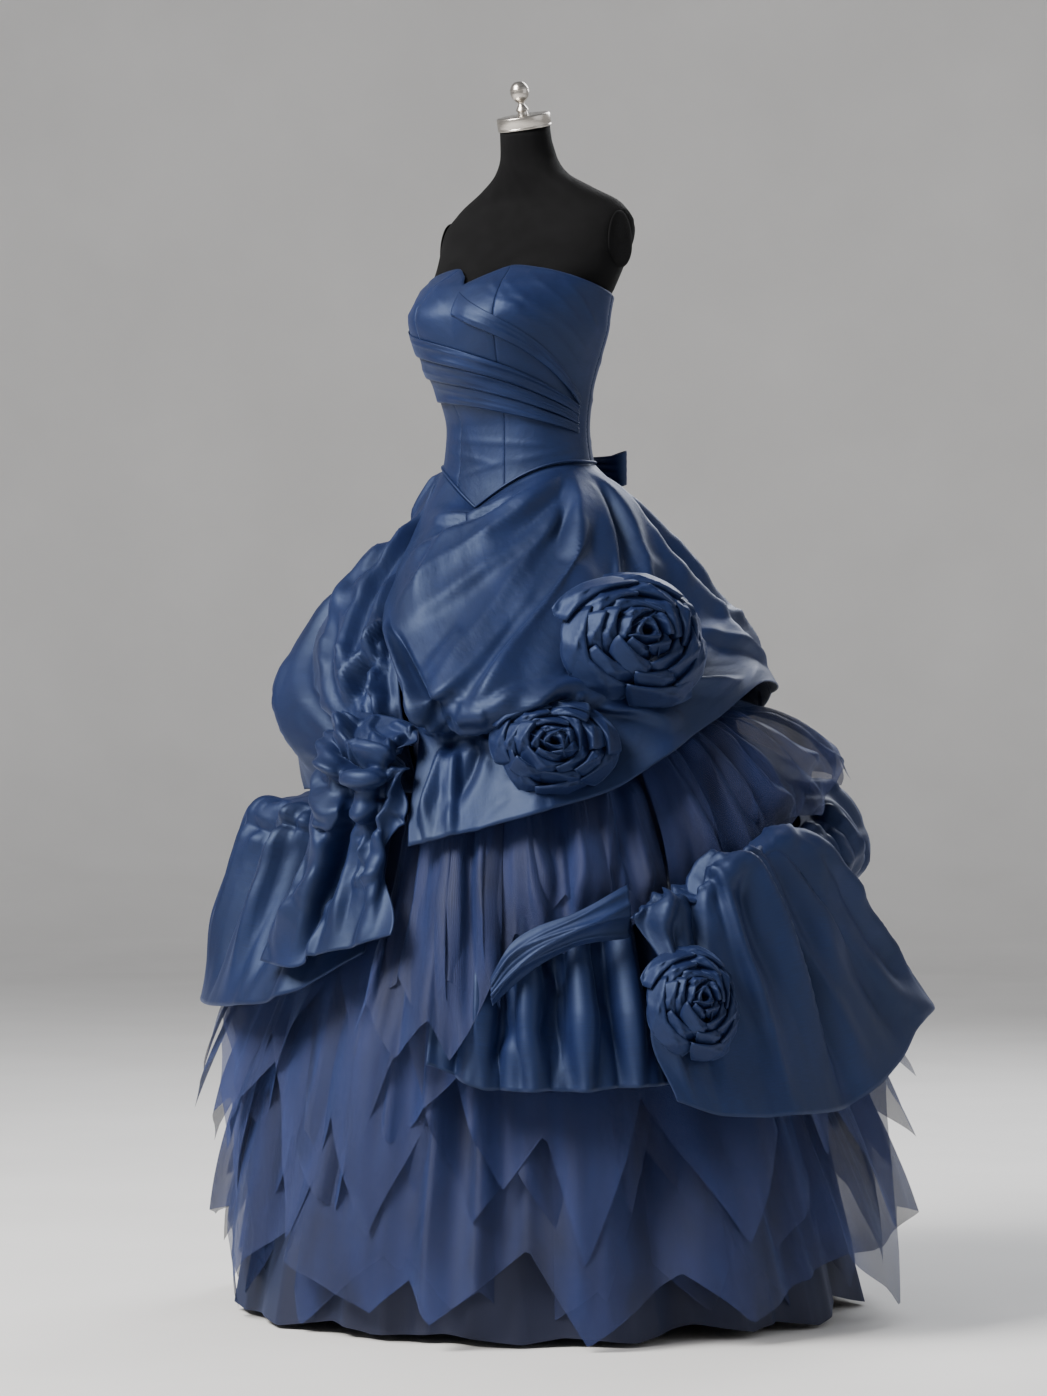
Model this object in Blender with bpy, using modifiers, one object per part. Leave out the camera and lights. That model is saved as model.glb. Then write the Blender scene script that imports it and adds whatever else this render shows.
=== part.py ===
"""Strapless taffeta ball gown with tulle underskirts and three fabric roses, worn by a limbless dress form.

Frame: metres, +Z up, the wearer's front towards -Y and the wearer's left towards +X.
The origin is the middle of the stand's round base, on the floor.
Azimuths are in degrees: 0 at the front, 90 at the wearer's left, 180 at the back.
"""

import math
import random

import bmesh
import bpy
from mathutils import Matrix, Vector
from mathutils.bvhtree import BVHTree

# Cloth and clearances
TAFFETA = 0.0016
TULLE = 0.0011
BODICE = 0.0018
PIPING_RADIUS = 0.0016
SEAM = 0.0004
BODY_CLEARANCE = 0.0013
FORM_PADDING = 0.0055
NECK_EASE = 0.017
PETTICOAT_CLEARANCE = 0.0009
COLUMN_DEG = 12.0
SAMPLE_STEP = 0.0025

# Heights of the garment
BASQUE_POINT_Z = 1.083
BASQUE_SIDE_RISE = 0.062
BASQUE_SIDE_DEG = 80.0
WAIST_SEAM_Z = BASQUE_POINT_Z + BASQUE_SIDE_RISE
TRAIN = 0.06

# Stand under the form
BASE_RADIUS = 0.17
BASE_THICKNESS = 0.014
POLE_RADIUS = 0.0125
FORM_BOTTOM_Z = 0.905

# Neck cap and finial
CAP_CENTRE = Vector((0.0, 0.011, 1.6055))
CAP_RADIUS = 0.0368
CAP_HEIGHT = 0.0185
CAP_TILT_DEG = 14.0
NECK_TOP_RADIUS = 0.0345

# Dress form sections: height, centre towards the back, half width, depth in front, depth behind
FORM_SECTIONS = [
    (0.905, 0.010, 0.132, 0.100, 0.106),
    (0.935, 0.010, 0.149, 0.114, 0.124),
    (1.000, 0.008, 0.151, 0.111, 0.122),
    (1.040, 0.006, 0.1415, 0.1055, 0.1095),
    (1.080, 0.004, 0.130, 0.099, 0.096),
    (1.140, 0.001, 0.110, 0.088, 0.075),
    (1.194, 0.000, 0.103, 0.086, 0.068),
    (1.235, 0.000, 0.107, 0.104, 0.068),
    (1.280, 0.000, 0.119, 0.138, 0.073),
    (1.337, 0.000, 0.137, 0.156, 0.078),
    (1.380, 0.010, 0.139, 0.136, 0.080),
    (1.396, 0.016, 0.1412, 0.1150, 0.0845),
    (1.412, 0.022, 0.144, 0.098, 0.088),
    (1.466, 0.042, 0.156, 0.070, 0.070),
    (1.500, 0.046, 0.132, 0.056, 0.056),
    (1.524, 0.038, 0.088, 0.049, 0.048),
    (1.546, 0.026, 0.052, 0.042, 0.042),
    (1.566, 0.020, 0.0395, 0.038, 0.039),
    (1.596, 0.012, 0.0345, 0.0345, 0.0345),
]
ARM_CUT_X = 0.143
ARM_PLATE_CENTRE = (0.034, 1.442)
ARM_PLATE_HALF = (0.045, 0.027)
ARM_PLATE_THICKNESS = 0.004

# Upper edge of the bodice: azimuth from the front, height
NECKLINE = [
    (0, 1.382),
    (9, 1.396),
    (27, 1.409),
    (45, 1.404),
    (72, 1.388),
    (99, 1.371),
    (135, 1.354),
    (180, 1.346),
]
# Bodice panels: name, first azimuth, last azimuth
BODICE_PANELS = [
    ("bodice_centre_front", -24, 24),
    ("bodice_side_front_left", 24, 96),
    ("bodice_back_left", 96, 180),
    ("bodice_back_right", 180, 264),
    ("bodice_side_front_right", 264, 336),
]
BODICE_ROWS = (0, 0.06, 0.14, 0.24, 0.36, 0.50, 0.66, 0.83, 1.0)

# Draped pleats that fan across the bodice from the wearer's right to the left side seam.
# Each: first and last azimuth, upper height at both ends, lower height at both ends,
# how far it stands off the bodice
PLEATS = [
    (0, 84, 1.372, 1.236, 1.340, 1.2225, 0.0054),
    (-60, 84, 1.337, 1.222, 1.303, 1.210, 0.0038),
    (-60, 84, 1.3025, 1.2095, 1.269, 1.198, 0.0038),
    (-60, 84, 1.269, 1.198, 1.234, 1.186, 0.0038),
]
PLEAT_SAG = 0.006
PLEAT_THIN = 0.0010
PLEAT_THICK = 0.0034

# Radius of the petticoat, straight between its rows: height, radius
PETTICOAT_RADII = [
    (1.040, 0.112),
    (0.930, 0.214),
    (0.812, 0.277),
    (0.560, 0.3135),
    (0.000, 0.410),
]
RING_COLUMNS = 60
GORES = 5
FIRST_GORE_DEG = 30
WAVES_START_Z = 0.54

# Tulle rings: name, waves round the hem, top height, gap over the petticoat at the top,
# gain in radius at the hem, depth of the waves at the hem, highest and lowest hem,
# heights of the rows between its top and its hem
TULLE_RINGS = [
    ("petticoat", 15, 1.040, 0.0, 0.0, 0.008, 0.014, 0.005, (0.930, 0.812, 0.560)),
    ("tulle_low", 15, 0.560, 0.0018, 0.040, 0.019, 0.090, 0.004, (0.440, 0.300, 0.160)),
    ("tulle_mid", 10, 0.590, 0.0018, 0.084, 0.026, 0.300, 0.160, (0.510, 0.430, 0.350)),
]
# Long handkerchief points that stand out of a ring: ring, azimuth, half width in degrees,
# extra radius, height of the tip
RING_TIPS = [
    ("tulle_mid", -54, 15, 0.075, 0.268),
    ("tulle_mid", 114, 15, 0.080, 0.322),
    ("tulle_low", 126, 15, 0.045, 0.075),
    ("tulle_low", -54, 15, 0.015, 0.115),
    ("tulle_low", 45, 17, 0.030, 0.006),
    ("tulle_low", 96, 14, 0.032, 0.006),
]

# Cloth panels hang from a top edge to their lower edge. Columns: azimuth at the top,
# half way down and at the lower edge, then pairs of radius and height from the top down.
# A top of None starts at the basque seam, and a top radius of 0 lies on the petticoat.
FRONT_LEFT_SEAM = (
    *(132, 132, 132, None, None, 0.182, 1.066),
    *(0.243, 0.985, 0.290, 0.922, 0.318, 0.875, 0.333, 0.836),
)
BACK_LEFT_SEAM = (132, 132, 132, None, None, 0.200, 1.043, 0.275, 0.945, 0.316, 0.880, 0.333, 0.836)
BACK_RIGHT_SEAM = (210, 210, 210, None, None, 0.190, 1.025, 0.286, 0.935, 0.330, 0.830, 0.306, 0.712)
FLOUNCE_LEFT_SEAM = (131, 131, 131, 0, 0.602, 0.368, 0.546, 0.458, 0.468, 0.520, 0.402)
PANELS = {
    "overskirt_front": {
        "rows": [
            (-60, 2, 14, None, None, 0.165, 1.035, 0.268, 0.925, 0.335, 0.842, 0.336, 0.772, 0.410, 0.640),
            (-36, 12, 20, None, None, 0.172, 1.030, 0.282, 0.918, 0.362, 0.832, 0.344, 0.768, 0.414, 0.650),
            (-12, 22, 30, None, None, 0.178, 1.026, 0.292, 0.912, 0.378, 0.830, 0.352, 0.772, 0.412, 0.668),
            (12, 33, 41, None, None, 0.182, 1.026, 0.298, 0.912, 0.382, 0.834, 0.360, 0.782, 0.410, 0.690),
            (36, 45, 52, None, None, 0.186, 1.026, 0.300, 0.915, 0.372, 0.844, 0.362, 0.794, 0.402, 0.713),
            (60, 60, 64, None, None, 0.188, 1.030, 0.294, 0.922, 0.352, 0.860, 0.364, 0.815, 0.388, 0.760),
            (84, 78, 77, None, None, 0.188, 1.040, 0.280, 0.936, 0.330, 0.878, 0.352, 0.842, 0.372, 0.800),
            (108, 104, 101, None, None, 0.185, 1.056, 0.262, 0.962, 0.308, 0.905, 0.334, 0.874, 0.352, 0.852),
            FRONT_LEFT_SEAM,
        ],
        "folds": [
            (0.80, -1.00, 0.03, 0.44, 0.055, 0.017),
            (0.80, -0.28, 0.03, 0.72, 0.045, 0.019),
            (0.81, 0.12, 0.05, 0.64, 0.042, 0.016),
            (0.82, 0.44, 0.05, 0.50, 0.035, 0.011),
            (0.30, 0.34, 0.78, 1.20, 0.050, 0.012),
            (0.60, 0.62, 0.78, 1.20, 0.050, 0.012),
        ],
        "columns": 32,
        "steps": 10,
    },
    "overskirt_right": {
        "rows": [
            BACK_RIGHT_SEAM,
            (236, 236, 236, None, None, 0.192, 1.022, 0.288, 0.930, 0.334, 0.825, 0.304, 0.711),
            (262, 262, 264, None, None, 0.190, 1.022, 0.288, 0.930, 0.336, 0.822, 0.303, 0.710),
            (284, 288, 292, None, None, 0.184, 1.026, 0.285, 0.932, 0.334, 0.822, 0.303, 0.708),
            (294, 306, 318, None, None, 0.176, 1.030, 0.276, 0.936, 0.328, 0.828, 0.303, 0.707),
            (299, 334, 356, None, None, 0.160, 1.036, 0.252, 0.938, 0.308, 0.836, 0.302, 0.706),
            (299.2, 352, 368, None, None, 0.150, 1.036, 0.240, 0.936, 0.296, 0.836, 0.300, 0.706),
        ],
        "folds": [
            (0.12, 0.17, 0.30, 0.98, 0.05, -0.020),
            (0.38, 0.36, 0.35, 0.98, 0.05, -0.020),
            (0.62, 0.58, 0.40, 0.98, 0.04, -0.018),
            (0.80, 0.76, 0.45, 0.98, 0.04, -0.010),
        ],
        "columns": 22,
        "steps": 8,
    },
    "overskirt_back": {
        "rows": [
            BACK_LEFT_SEAM,
            (150, 150, 150, None, None, 0.198, 1.036, 0.284, 0.940, 0.330, 0.868, 0.336, 0.806),
            (170, 170, 170, None, None, 0.196, 1.030, 0.286, 0.936, 0.336, 0.856, 0.334, 0.794),
            (190, 190, 190, None, None, 0.194, 1.027, 0.287, 0.935, 0.334, 0.846, 0.322, 0.764),
            BACK_RIGHT_SEAM,
        ],
        "folds": [
            (0.28, 0.30, 0.20, 0.98, 0.07, -0.018),
            (0.66, 0.64, 0.20, 0.98, 0.07, -0.018),
        ],
        "columns": 13,
        "steps": 7,
    },
    "cascade": {
        "rows": [
            (-11, -13, -16, 0.308, 0.812, 0.344, 0.755, 0.386, 0.620, 0.442, 0.486),
            (-4, -6, -9, 0.322, 0.810, 0.374, 0.752, 0.392, 0.630, 0.446, 0.480),
            (2, 0, -2, 0.324, 0.806, 0.386, 0.744, 0.386, 0.645, 0.444, 0.500),
            (8, 7, 5, 0.326, 0.798, 0.384, 0.736, 0.388, 0.650, 0.438, 0.512),
            (10.5, 10.5, 10.5, 0.326, 0.790, 0.368, 0.738, 0.386, 0.650, 0.436, 0.528),
        ],
        "folds": [
            (0.28, 0.40, 0.10, 0.62, 0.10, 0.013),
            (0.72, 0.58, 0.15, 0.62, 0.09, 0.013),
            (0.50, 0.38, 0.60, 1.10, 0.10, -0.012),
            (0.85, 0.80, 0.55, 1.10, 0.08, 0.010),
        ],
        "columns": 13,
        "steps": 8,
    },
    "flounce_right": {
        "rows": [
            (210, 210, 210, 0, 0.700, 0.368, 0.668, 0.410, 0.560, 0.462, 0.420),
            (240, 240, 240, 0, 0.700, 0.368, 0.668, 0.410, 0.560, 0.470, 0.400),
            (270, 270, 270, 0, 0.700, 0.366, 0.670, 0.408, 0.566, 0.460, 0.425),
            (300, 300, 300, 0, 0.700, 0.366, 0.676, 0.405, 0.580, 0.460, 0.424),
            (320, 320, 320, 0, 0.700, 0.360, 0.676, 0.402, 0.576, 0.458, 0.418),
            (342, 342, 342, 0, 0.700, 0.330, 0.668, 0.364, 0.576, 0.440, 0.430),
            (362, 362, 362, 0, 0.700, 0.318, 0.668, 0.344, 0.590, 0.390, 0.500),
        ],
        "folds": [
            (0.08, 0.08, 0.20, 0, 0.028, 0.015),
            (0.22, 0.22, 0.20, 0, 0.028, 0.015),
            (0.36, 0.37, 0.20, 0, 0.028, 0.015),
            (0.50, 0.51, 0.20, 0, 0.028, 0.015),
            (0.64, 0.66, 0.20, 0, 0.028, 0.015),
            (0.78, 0.80, 0.20, 0, 0.028, 0.013),
        ],
        "columns": 32,
        "steps": 5,
    },
    "back_puff": {
        "rows": [
            (94, 94, 95, 0.376, 0.638, 0.412, 0.638, 0.440, 0.608, 0.414, 0.568),
            (108, 108, 108, 0.376, 0.656, 0.420, 0.654, 0.446, 0.612, 0.412, 0.566),
            (122, 122, 122, 0.340, 0.712, 0.410, 0.688, 0.444, 0.622, 0.408, 0.556),
            (142, 142, 142, 0, 0.790, 0.386, 0.722, 0.430, 0.636, 0.402, 0.542),
            (165, 165, 165, 0, 0.785, 0.384, 0.718, 0.428, 0.634, 0.400, 0.540),
            (188, 188, 188, 0, 0.750, 0.376, 0.700, 0.420, 0.628, 0.396, 0.543),
            (210, 210, 210, 0, 0.705, 0.364, 0.676, 0.404, 0.622, 0.388, 0.552),
        ],
        "folds": [
            (0.10, 0.11, 0.10, 0.98, 0.035, -0.014),
            (0.26, 0.27, 0.10, 0.98, 0.040, -0.014),
            (0.48, 0.48, 0.10, 0.98, 0.045, -0.014),
            (0.70, 0.70, 0.10, 0.98, 0.045, -0.014),
            (0.88, 0.88, 0.10, 0.98, 0.035, -0.012),
        ],
        "columns": 24,
        "steps": 6,
    },
    "flounce_back": {
        "rows": [
            FLOUNCE_LEFT_SEAM,
            (152, 152, 152, 0, 0.602, 0.366, 0.546, 0.452, 0.466, 0.512, 0.385),
            (180, 180, 180, 0, 0.602, 0.364, 0.546, 0.448, 0.464, 0.506, 0.380),
            (210, 210, 210, 0, 0.602, 0.358, 0.548, 0.432, 0.470, 0.480, 0.395),
        ],
        "folds": [
            (0.12, 0.12, 0.10, 1.20, 0.040, 0.015),
            (0.31, 0.31, 0.10, 1.20, 0.040, 0.015),
            (0.50, 0.50, 0.10, 1.20, 0.040, 0.015),
            (0.69, 0.69, 0.10, 1.20, 0.040, 0.015),
            (0.88, 0.88, 0.10, 1.20, 0.040, 0.015),
        ],
        "columns": 22,
        "steps": 4,
    },
    "flounce_left": {
        "rows": [
            (53, 54, 54, 0.434, 0.548, 0.458, 0.552, 0.496, 0.455, 0.530, 0.325),
            (61, 61, 62, 0.438, 0.560, 0.467, 0.568, 0.502, 0.460, 0.540, 0.304),
            (69, 70, 71, 0.438, 0.598, 0.472, 0.606, 0.504, 0.468, 0.546, 0.300),
            (78, 80, 82, 0.438, 0.628, 0.474, 0.632, 0.506, 0.478, 0.550, 0.302),
            (88, 93, 95, 0.440, 0.600, 0.470, 0.598, 0.506, 0.490, 0.550, 0.355),
            (102, 106, 108, 0.438, 0.540, 0.462, 0.536, 0.500, 0.490, 0.546, 0.418),
            (117, 119, 120, 0.356, 0.566, 0.422, 0.518, 0.484, 0.470, 0.530, 0.410),
            FLOUNCE_LEFT_SEAM,
        ],
        "folds": [
            (0.10, 0.05, 0.02, 0.50, 0.040, 0.010),
            (0.36, 0.46, 0.08, 1.10, 0.045, -0.017),
            (0.30, 0.70, 0.10, 1.10, 0.040, 0.013),
            (0.28, 0.28, 0.05, 0.45, 0.035, 0.010),
            (0.78, 0.86, 0.15, 1.10, 0.045, 0.013),
        ],
        "columns": 26,
        "steps": 7,
    },
    "under_flounce": {
        "rows": [
            (19, 19, 19, 0, 0.622, 0.372, 0.560, 0.420, 0.470, 0.460, 0.366),
            (30, 30, 30, 0, 0.622, 0.385, 0.560, 0.436, 0.460, 0.476, 0.334),
            (42, 42, 42, 0, 0.622, 0.390, 0.560, 0.442, 0.455, 0.486, 0.334),
            (54, 54, 54, 0, 0.622, 0.392, 0.560, 0.446, 0.455, 0.490, 0.340),
            (66, 66, 66, 0, 0.622, 0.392, 0.560, 0.444, 0.455, 0.484, 0.340),
            (74, 74, 74, 0, 0.622, 0.388, 0.560, 0.438, 0.455, 0.476, 0.345),
        ],
        "waves": (7, 0.017),
        "folds": [],
        "columns": 28,
        "steps": 5,
    },
    "tulle_upper_front": {
        "rows": [
            (10, 8, 4, 0, 0.770, 0.322, 0.700, 0.362, 0.560, 0.436, 0.420),
            (15, 14, 13, 0, 0.770, 0.326, 0.700, 0.378, 0.560, 0.456, 0.395),
            (22, 22, 23, 0, 0.770, 0.338, 0.700, 0.414, 0.560, 0.484, 0.396),
            (31, 31, 31, 0, 0.770, 0.344, 0.700, 0.414, 0.580, 0.462, 0.450),
        ],
        "waves": (4, 0.010),
        "folds": [],
        "columns": 16,
        "steps": 4,
    },
    "tulle_upper_middle": {
        "rows": [
            (31.2, 31.2, 31.2, 0, 0.770, 0.344, 0.700, 0.404, 0.610, 0.440, 0.500),
            (42, 42, 42, 0, 0.770, 0.346, 0.700, 0.404, 0.610, 0.440, 0.530),
            (52, 52, 52, 0, 0.770, 0.346, 0.700, 0.400, 0.610, 0.422, 0.548),
            (62, 62, 62, 0, 0.770, 0.346, 0.700, 0.396, 0.610, 0.411, 0.552),
        ],
        "waves": (4, 0.007),
        "folds": [],
        "columns": 16,
        "steps": 4,
    },
    "tulle_upper_left": {
        "rows": [
            (62.2, 62.2, 62.2, 0, 0.790, 0.340, 0.730, 0.396, 0.640, 0.412, 0.550),
            (76, 76, 76, 0, 0.812, 0.348, 0.760, 0.402, 0.655, 0.414, 0.575),
            (90, 90, 90, 0, 0.830, 0.356, 0.780, 0.404, 0.700, 0.412, 0.648),
            (106, 106, 106, 0, 0.832, 0.362, 0.796, 0.412, 0.745, 0.424, 0.708),
            (125, 125, 125, 0, 0.830, 0.362, 0.800, 0.412, 0.765, 0.428, 0.730),
        ],
        "waves": (6, 0.011),
        "folds": [],
        "columns": 24,
        "steps": 5,
    },
}

# Strip of taffeta twisted across the front: azimuth, radius, height of its middle, height of the strip
SASH = [
    (51.8, 0.458, 0.560, 0.062),
    (47.0, 0.464, 0.548, 0.052),
    (42.0, 0.466, 0.534, 0.046),
    (37.0, 0.466, 0.516, 0.046),
    (33.0, 0.470, 0.492, 0.050),
    (30.0, 0.478, 0.460, 0.040),
]
SASH_RESTS_ON = ("tulle_upper_front", "tulle_upper_middle", "under_flounce")

# Roses: name, azimuth, height, half width, half height, depth, turns, lean back in degrees, panel below
ROSES = [
    ("rose_large", 60, 0.905, 0.102, 0.088, 0.052, 2.6, 14, "overskirt_front"),
    ("rose_middle", 41, 0.768, 0.080, 0.062, 0.046, 2.4, 10, "overskirt_front"),
    ("rose_lower", 59, 0.446, 0.062, 0.072, 0.044, 2.4, 14, "flounce_left"),
]
ROSE_WALL = 0.0020
ROSE_COLUMNS_PER_TURN = 12

# Bow at the back of the waist
BOW_Z = 1.143
BOW_HEIGHT = 0.046
BOW_REACH = 0.104
BOW_DEPTH = 0.034
KNOT_SIZE = (0.022, 0.030, 0.034)
BOW_RESTS_ON = (
    "overskirt_back",
    "overskirt_front",
    "overskirt_right",
    "bodice_back_left",
    "bodice_back_right",
    "basque_piping",
)

COLOURS = {
    # name: base colour, roughness, metallic
    "taffeta": ((0.018, 0.040, 0.150, 1.0), 0.38, 0.0),
    "tulle": ((0.020, 0.045, 0.150, 1.0), 0.70, 0.0),
    "jersey": ((0.010, 0.010, 0.011, 1.0), 0.85, 0.0),
    "nickel": ((0.62, 0.59, 0.55, 1.0), 0.25, 1.0),
    "steel": ((0.06, 0.06, 0.065, 1.0), 0.45, 0.8),
}


def clear_scene():
    for obj in list(bpy.data.objects):
        bpy.data.objects.remove(obj, do_unlink=True)


def new_collection(name):
    collection = bpy.data.collections.new(name)
    bpy.context.scene.collection.children.link(collection)
    return collection


def make_materials():
    made = {}
    for name, (colour, roughness, metallic) in COLOURS.items():
        material = bpy.data.materials.new(name)
        material.use_nodes = True
        shader = material.node_tree.nodes["Principled BSDF"]
        shader.inputs["Base Color"].default_value = colour
        shader.inputs["Roughness"].default_value = roughness
        shader.inputs["Metallic"].default_value = metallic
        material.diffuse_color = colour
        made[name] = material
    return made


def add_object(name, mesh, material):
    obj = bpy.data.objects.new(name, mesh)
    GOWN.objects.link(obj)
    mesh.materials.append(MATERIALS[material])
    return obj


def shade(mesh, sharp_deg=50):
    mesh.shade_smooth()
    mesh.set_sharp_from_angle(angle=math.radians(sharp_deg))


# Curves through tables


def slopes(xs, ys):
    """Slopes of a curve through the points that never overshoots them."""
    steps = [(ys[i + 1] - ys[i]) / (xs[i + 1] - xs[i]) for i in range(len(xs) - 1)]
    inner = [
        0.0 if a * b <= 0 else 2 * a * b / (a + b) for a, b in zip(steps, steps[1:])
    ]
    return [steps[0], *inner, steps[-1]]


def through(xs, ys, x):
    """Height at x of the smooth curve through the points, flat beyond its ends."""
    if x <= xs[0]:
        return ys[0]
    if x >= xs[-1]:
        return ys[-1]
    m = slopes(xs, ys)
    i = max(k for k in range(len(xs) - 1) if xs[k] <= x)
    h = xs[i + 1] - xs[i]
    t = (x - xs[i]) / h
    return (
        (1 + 2 * t) * (1 - t) ** 2 * ys[i]
        + t * (1 - t) ** 2 * h * m[i]
        + t * t * (3 - 2 * t) * ys[i + 1]
        + t * t * (t - 1) * h * m[i + 1]
    )


def table_value(table, column, x):
    rows = sorted(table)
    return through([r[0] for r in rows], [r[column] for r in rows], x)


def smoothstep(t):
    t = min(1.0, max(0.0, t))
    return t * t * (3 - 2 * t)


def direction(azimuth):
    a = math.radians(azimuth)
    return Vector((math.sin(a), -math.cos(a), 0.0))


# Shape of the form and of the bodice on it


def cup(azimuth, z):
    """Extra radius of the two cups, as a share of the radius."""
    height = math.exp(-(((z - 1.335) / 0.045) ** 2))
    side = abs((azimuth + 180) % 360 - 180)
    return height * (
        0.045 * math.exp(-(((side - 30) / 18) ** 2))
        - 0.05 * math.exp(-((side / 11) ** 2))
    )


def form_radius(azimuth, z):
    a = math.radians(azimuth)
    half_width = table_value(FORM_SECTIONS, 2, z)
    depth = table_value(FORM_SECTIONS, 3 if math.cos(a) > 0 else 4, z)
    oval = 1 / math.hypot(math.sin(a) / half_width, math.cos(a) / depth)
    return oval * (1 + cup(azimuth, z))


def form_point(azimuth, z, out=0.0):
    centre = Vector((0.0, table_value(FORM_SECTIONS, 1, z), z))
    return centre + direction(azimuth) * (form_radius(azimuth, z) + out)


def seam_z(azimuth):
    """Height of the basque seam, lowest in a point at the front, straight between columns."""
    side = abs((azimuth + 180) % 360 - 180)
    column = int(side / COLUMN_DEG)

    def rise(at):
        share = min(at * COLUMN_DEG, BASQUE_SIDE_DEG) / BASQUE_SIDE_DEG
        return math.sin(share * math.pi / 2)

    between = side / COLUMN_DEG - column
    share = rise(column) * (1 - between) + rise(column + 1) * between
    return BASQUE_POINT_Z + BASQUE_SIDE_RISE * share


def neckline_z(azimuth):
    side = abs((azimuth + 180) % 360 - 180)
    return table_value(NECKLINE, 1, side)


# Building blocks


def grid_mesh(name, rows, closed=False):
    """Open surface through rows of points, facing outwards where rows go down and points go round."""
    bm = bmesh.new()
    made = [[bm.verts.new(p) for p in row] for row in rows]
    count = len(rows[0])
    for upper, lower in zip(made, made[1:]):
        for j in range(count if closed else count - 1):
            k = (j + 1) % count
            bm.faces.new((upper[j], lower[j], lower[k], upper[k]))
    mesh = bpy.data.meshes.new(name)
    bm.to_mesh(mesh)
    bm.free()
    return mesh


def wall(name, rows, thickness, material, closed=False):
    """Cloth: the surface through the rows, made a wall that grows outwards."""
    obj = add_object(name, grid_mesh(name, rows, closed), material)
    solidify = obj.modifiers.new("Thickness", "SOLIDIFY")
    solidify.thickness = thickness
    solidify.offset = 1.0
    solidify.use_even_offset = False
    shade(obj.data)
    return obj


def trim_ends(rows, gap):
    """Moves the first and last point of each row inwards, for half a seam at each end."""
    for row in rows:
        for end, inner in ((0, 1), (-1, -2)):
            along = row[inner] - row[end]
            row[end] = row[end] + along.normalized() * gap / 2
    return rows


# Skirt frame


def skirt_centre(z):
    return Vector((0.0, 0.003 + TRAIN * max(0.0, 1 - z / WAIST_SEAM_Z), z))


def skirt_point(azimuth, radius, z):
    return skirt_centre(z) + direction(azimuth) * radius


def bodice_shell(azimuth, z, out):
    """Point on the bodice's own facets at a column azimuth, moved out."""
    top, bottom = neckline_z(azimuth), seam_z(azimuth) + 2 * SEAM
    v = min(max((top - z) / (top - bottom), 0.0), 1.0)
    for before, after in zip(BODICE_ROWS, BODICE_ROWS[1:]):
        if v <= after:
            upper = bodice_point(azimuth, before, out)
            lower = bodice_point(azimuth, after, out)
            return upper.lerp(lower, (v - before) / (after - before))


def seam_radius(azimuth, z):
    """Radius in the skirt's frame of the cloth that leaves the bodice at this azimuth."""
    p = form_point(azimuth, z, BODY_CLEARANCE)
    return (p - skirt_centre(z)).length


def form_reach(azimuth, z):
    """Radius in the skirt's frame of the form's own skin, or nothing below it."""
    if z < FORM_BOTTOM_Z:
        return 0.0
    return (form_point(azimuth, z) - skirt_centre(z)).length


def fold_offset(folds, s, v):
    """Sum of soft ridges and troughs that run from the top to the lower edge of a panel."""
    out = 0.0
    for s_top, s_edge, v_from, v_to, width, depth in folds:
        middle = s_top + (s_edge - s_top) * v
        rise = smoothstep((v - v_from) / 0.25) * smoothstep((v_to - v) / 0.15)
        out += depth * rise * math.exp(-(((s - middle) / width) ** 2))
    return out


def on_petticoat(z):
    return petticoat_radius(z) + TULLE + 2 * SEAM


def panel_point(panel, s, v):
    """Point of a cloth panel: s runs across it from 0 to 1, and v down it."""
    rows = panel["rows"]
    stations = list(range(len(rows)))
    t = s * (len(rows) - 1)

    def across(column):
        return through(stations, [r[column] for r in rows], t)

    top_azimuth = across(0)
    azimuth = spline([top_azimuth, across(1), across(2)], v)
    if rows[0][3] is None:
        top_z = seam_z(top_azimuth) - SEAM
        top_r = seam_radius(top_azimuth, top_z)
    else:
        top_z = across(4)
        seats = [r[3] or on_petticoat(r[4]) for r in rows]
        top_r = max(through(stations, seats, t), on_petticoat(top_z))
    radii = [top_r, *(across(c) for c in range(5, len(rows[0]), 2))]
    heights = [top_z, *(across(c) for c in range(6, len(rows[0]), 2))]
    r = spline(radii, v) + fold_offset(panel["folds"], s, v)
    if "waves" in panel:
        count, depth = panel["waves"]
        r += depth * smoothstep(v) * math.cos(2 * math.pi * count * s)
    return skirt_point(azimuth, r, spline(heights, v))


def spline(values, v):
    """Smooth curve through values evenly spaced over v from 0 to 1."""
    last = len(values) - 1
    t = min(v, 1.0) * last
    i = min(int(t), last - 1)
    f = t - i
    a, b = values[i], values[i + 1]
    before = values[i - 1] if i > 0 else 2 * a - b
    after = values[i + 2] if i < last - 1 else 2 * b - a
    return 0.5 * (
        2 * a
        + (b - before) * f
        + (2 * before - 5 * a + 4 * b - after) * f * f
        + (3 * a - before - 3 * b + after) * f**3
    )


def make_panels():
    for name, panel in PANELS.items():
        tulle = name.startswith("tulle")
        columns, steps = panel["columns"], panel["steps"]
        rows = [
            [panel_point(panel, j / columns, i / steps) for j in range(columns + 1)]
            for i in range(steps + 1)
        ]
        trim_ends(rows, 2 * SEAM)
        wall(name, rows, TULLE if tulle else TAFFETA, "tulle" if tulle else "taffeta")


# Rings of tulle round the petticoat


def tip_share(ring_name, azimuth):
    """How far into one of the ring's long points an azimuth is, with that point's row."""
    for tip in RING_TIPS:
        apart = abs((azimuth - tip[1] + 180) % 360 - 180)
        if tip[0] == ring_name and apart < tip[2]:
            return 1 - apart / tip[2], tip
    return 0.0, None


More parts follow.
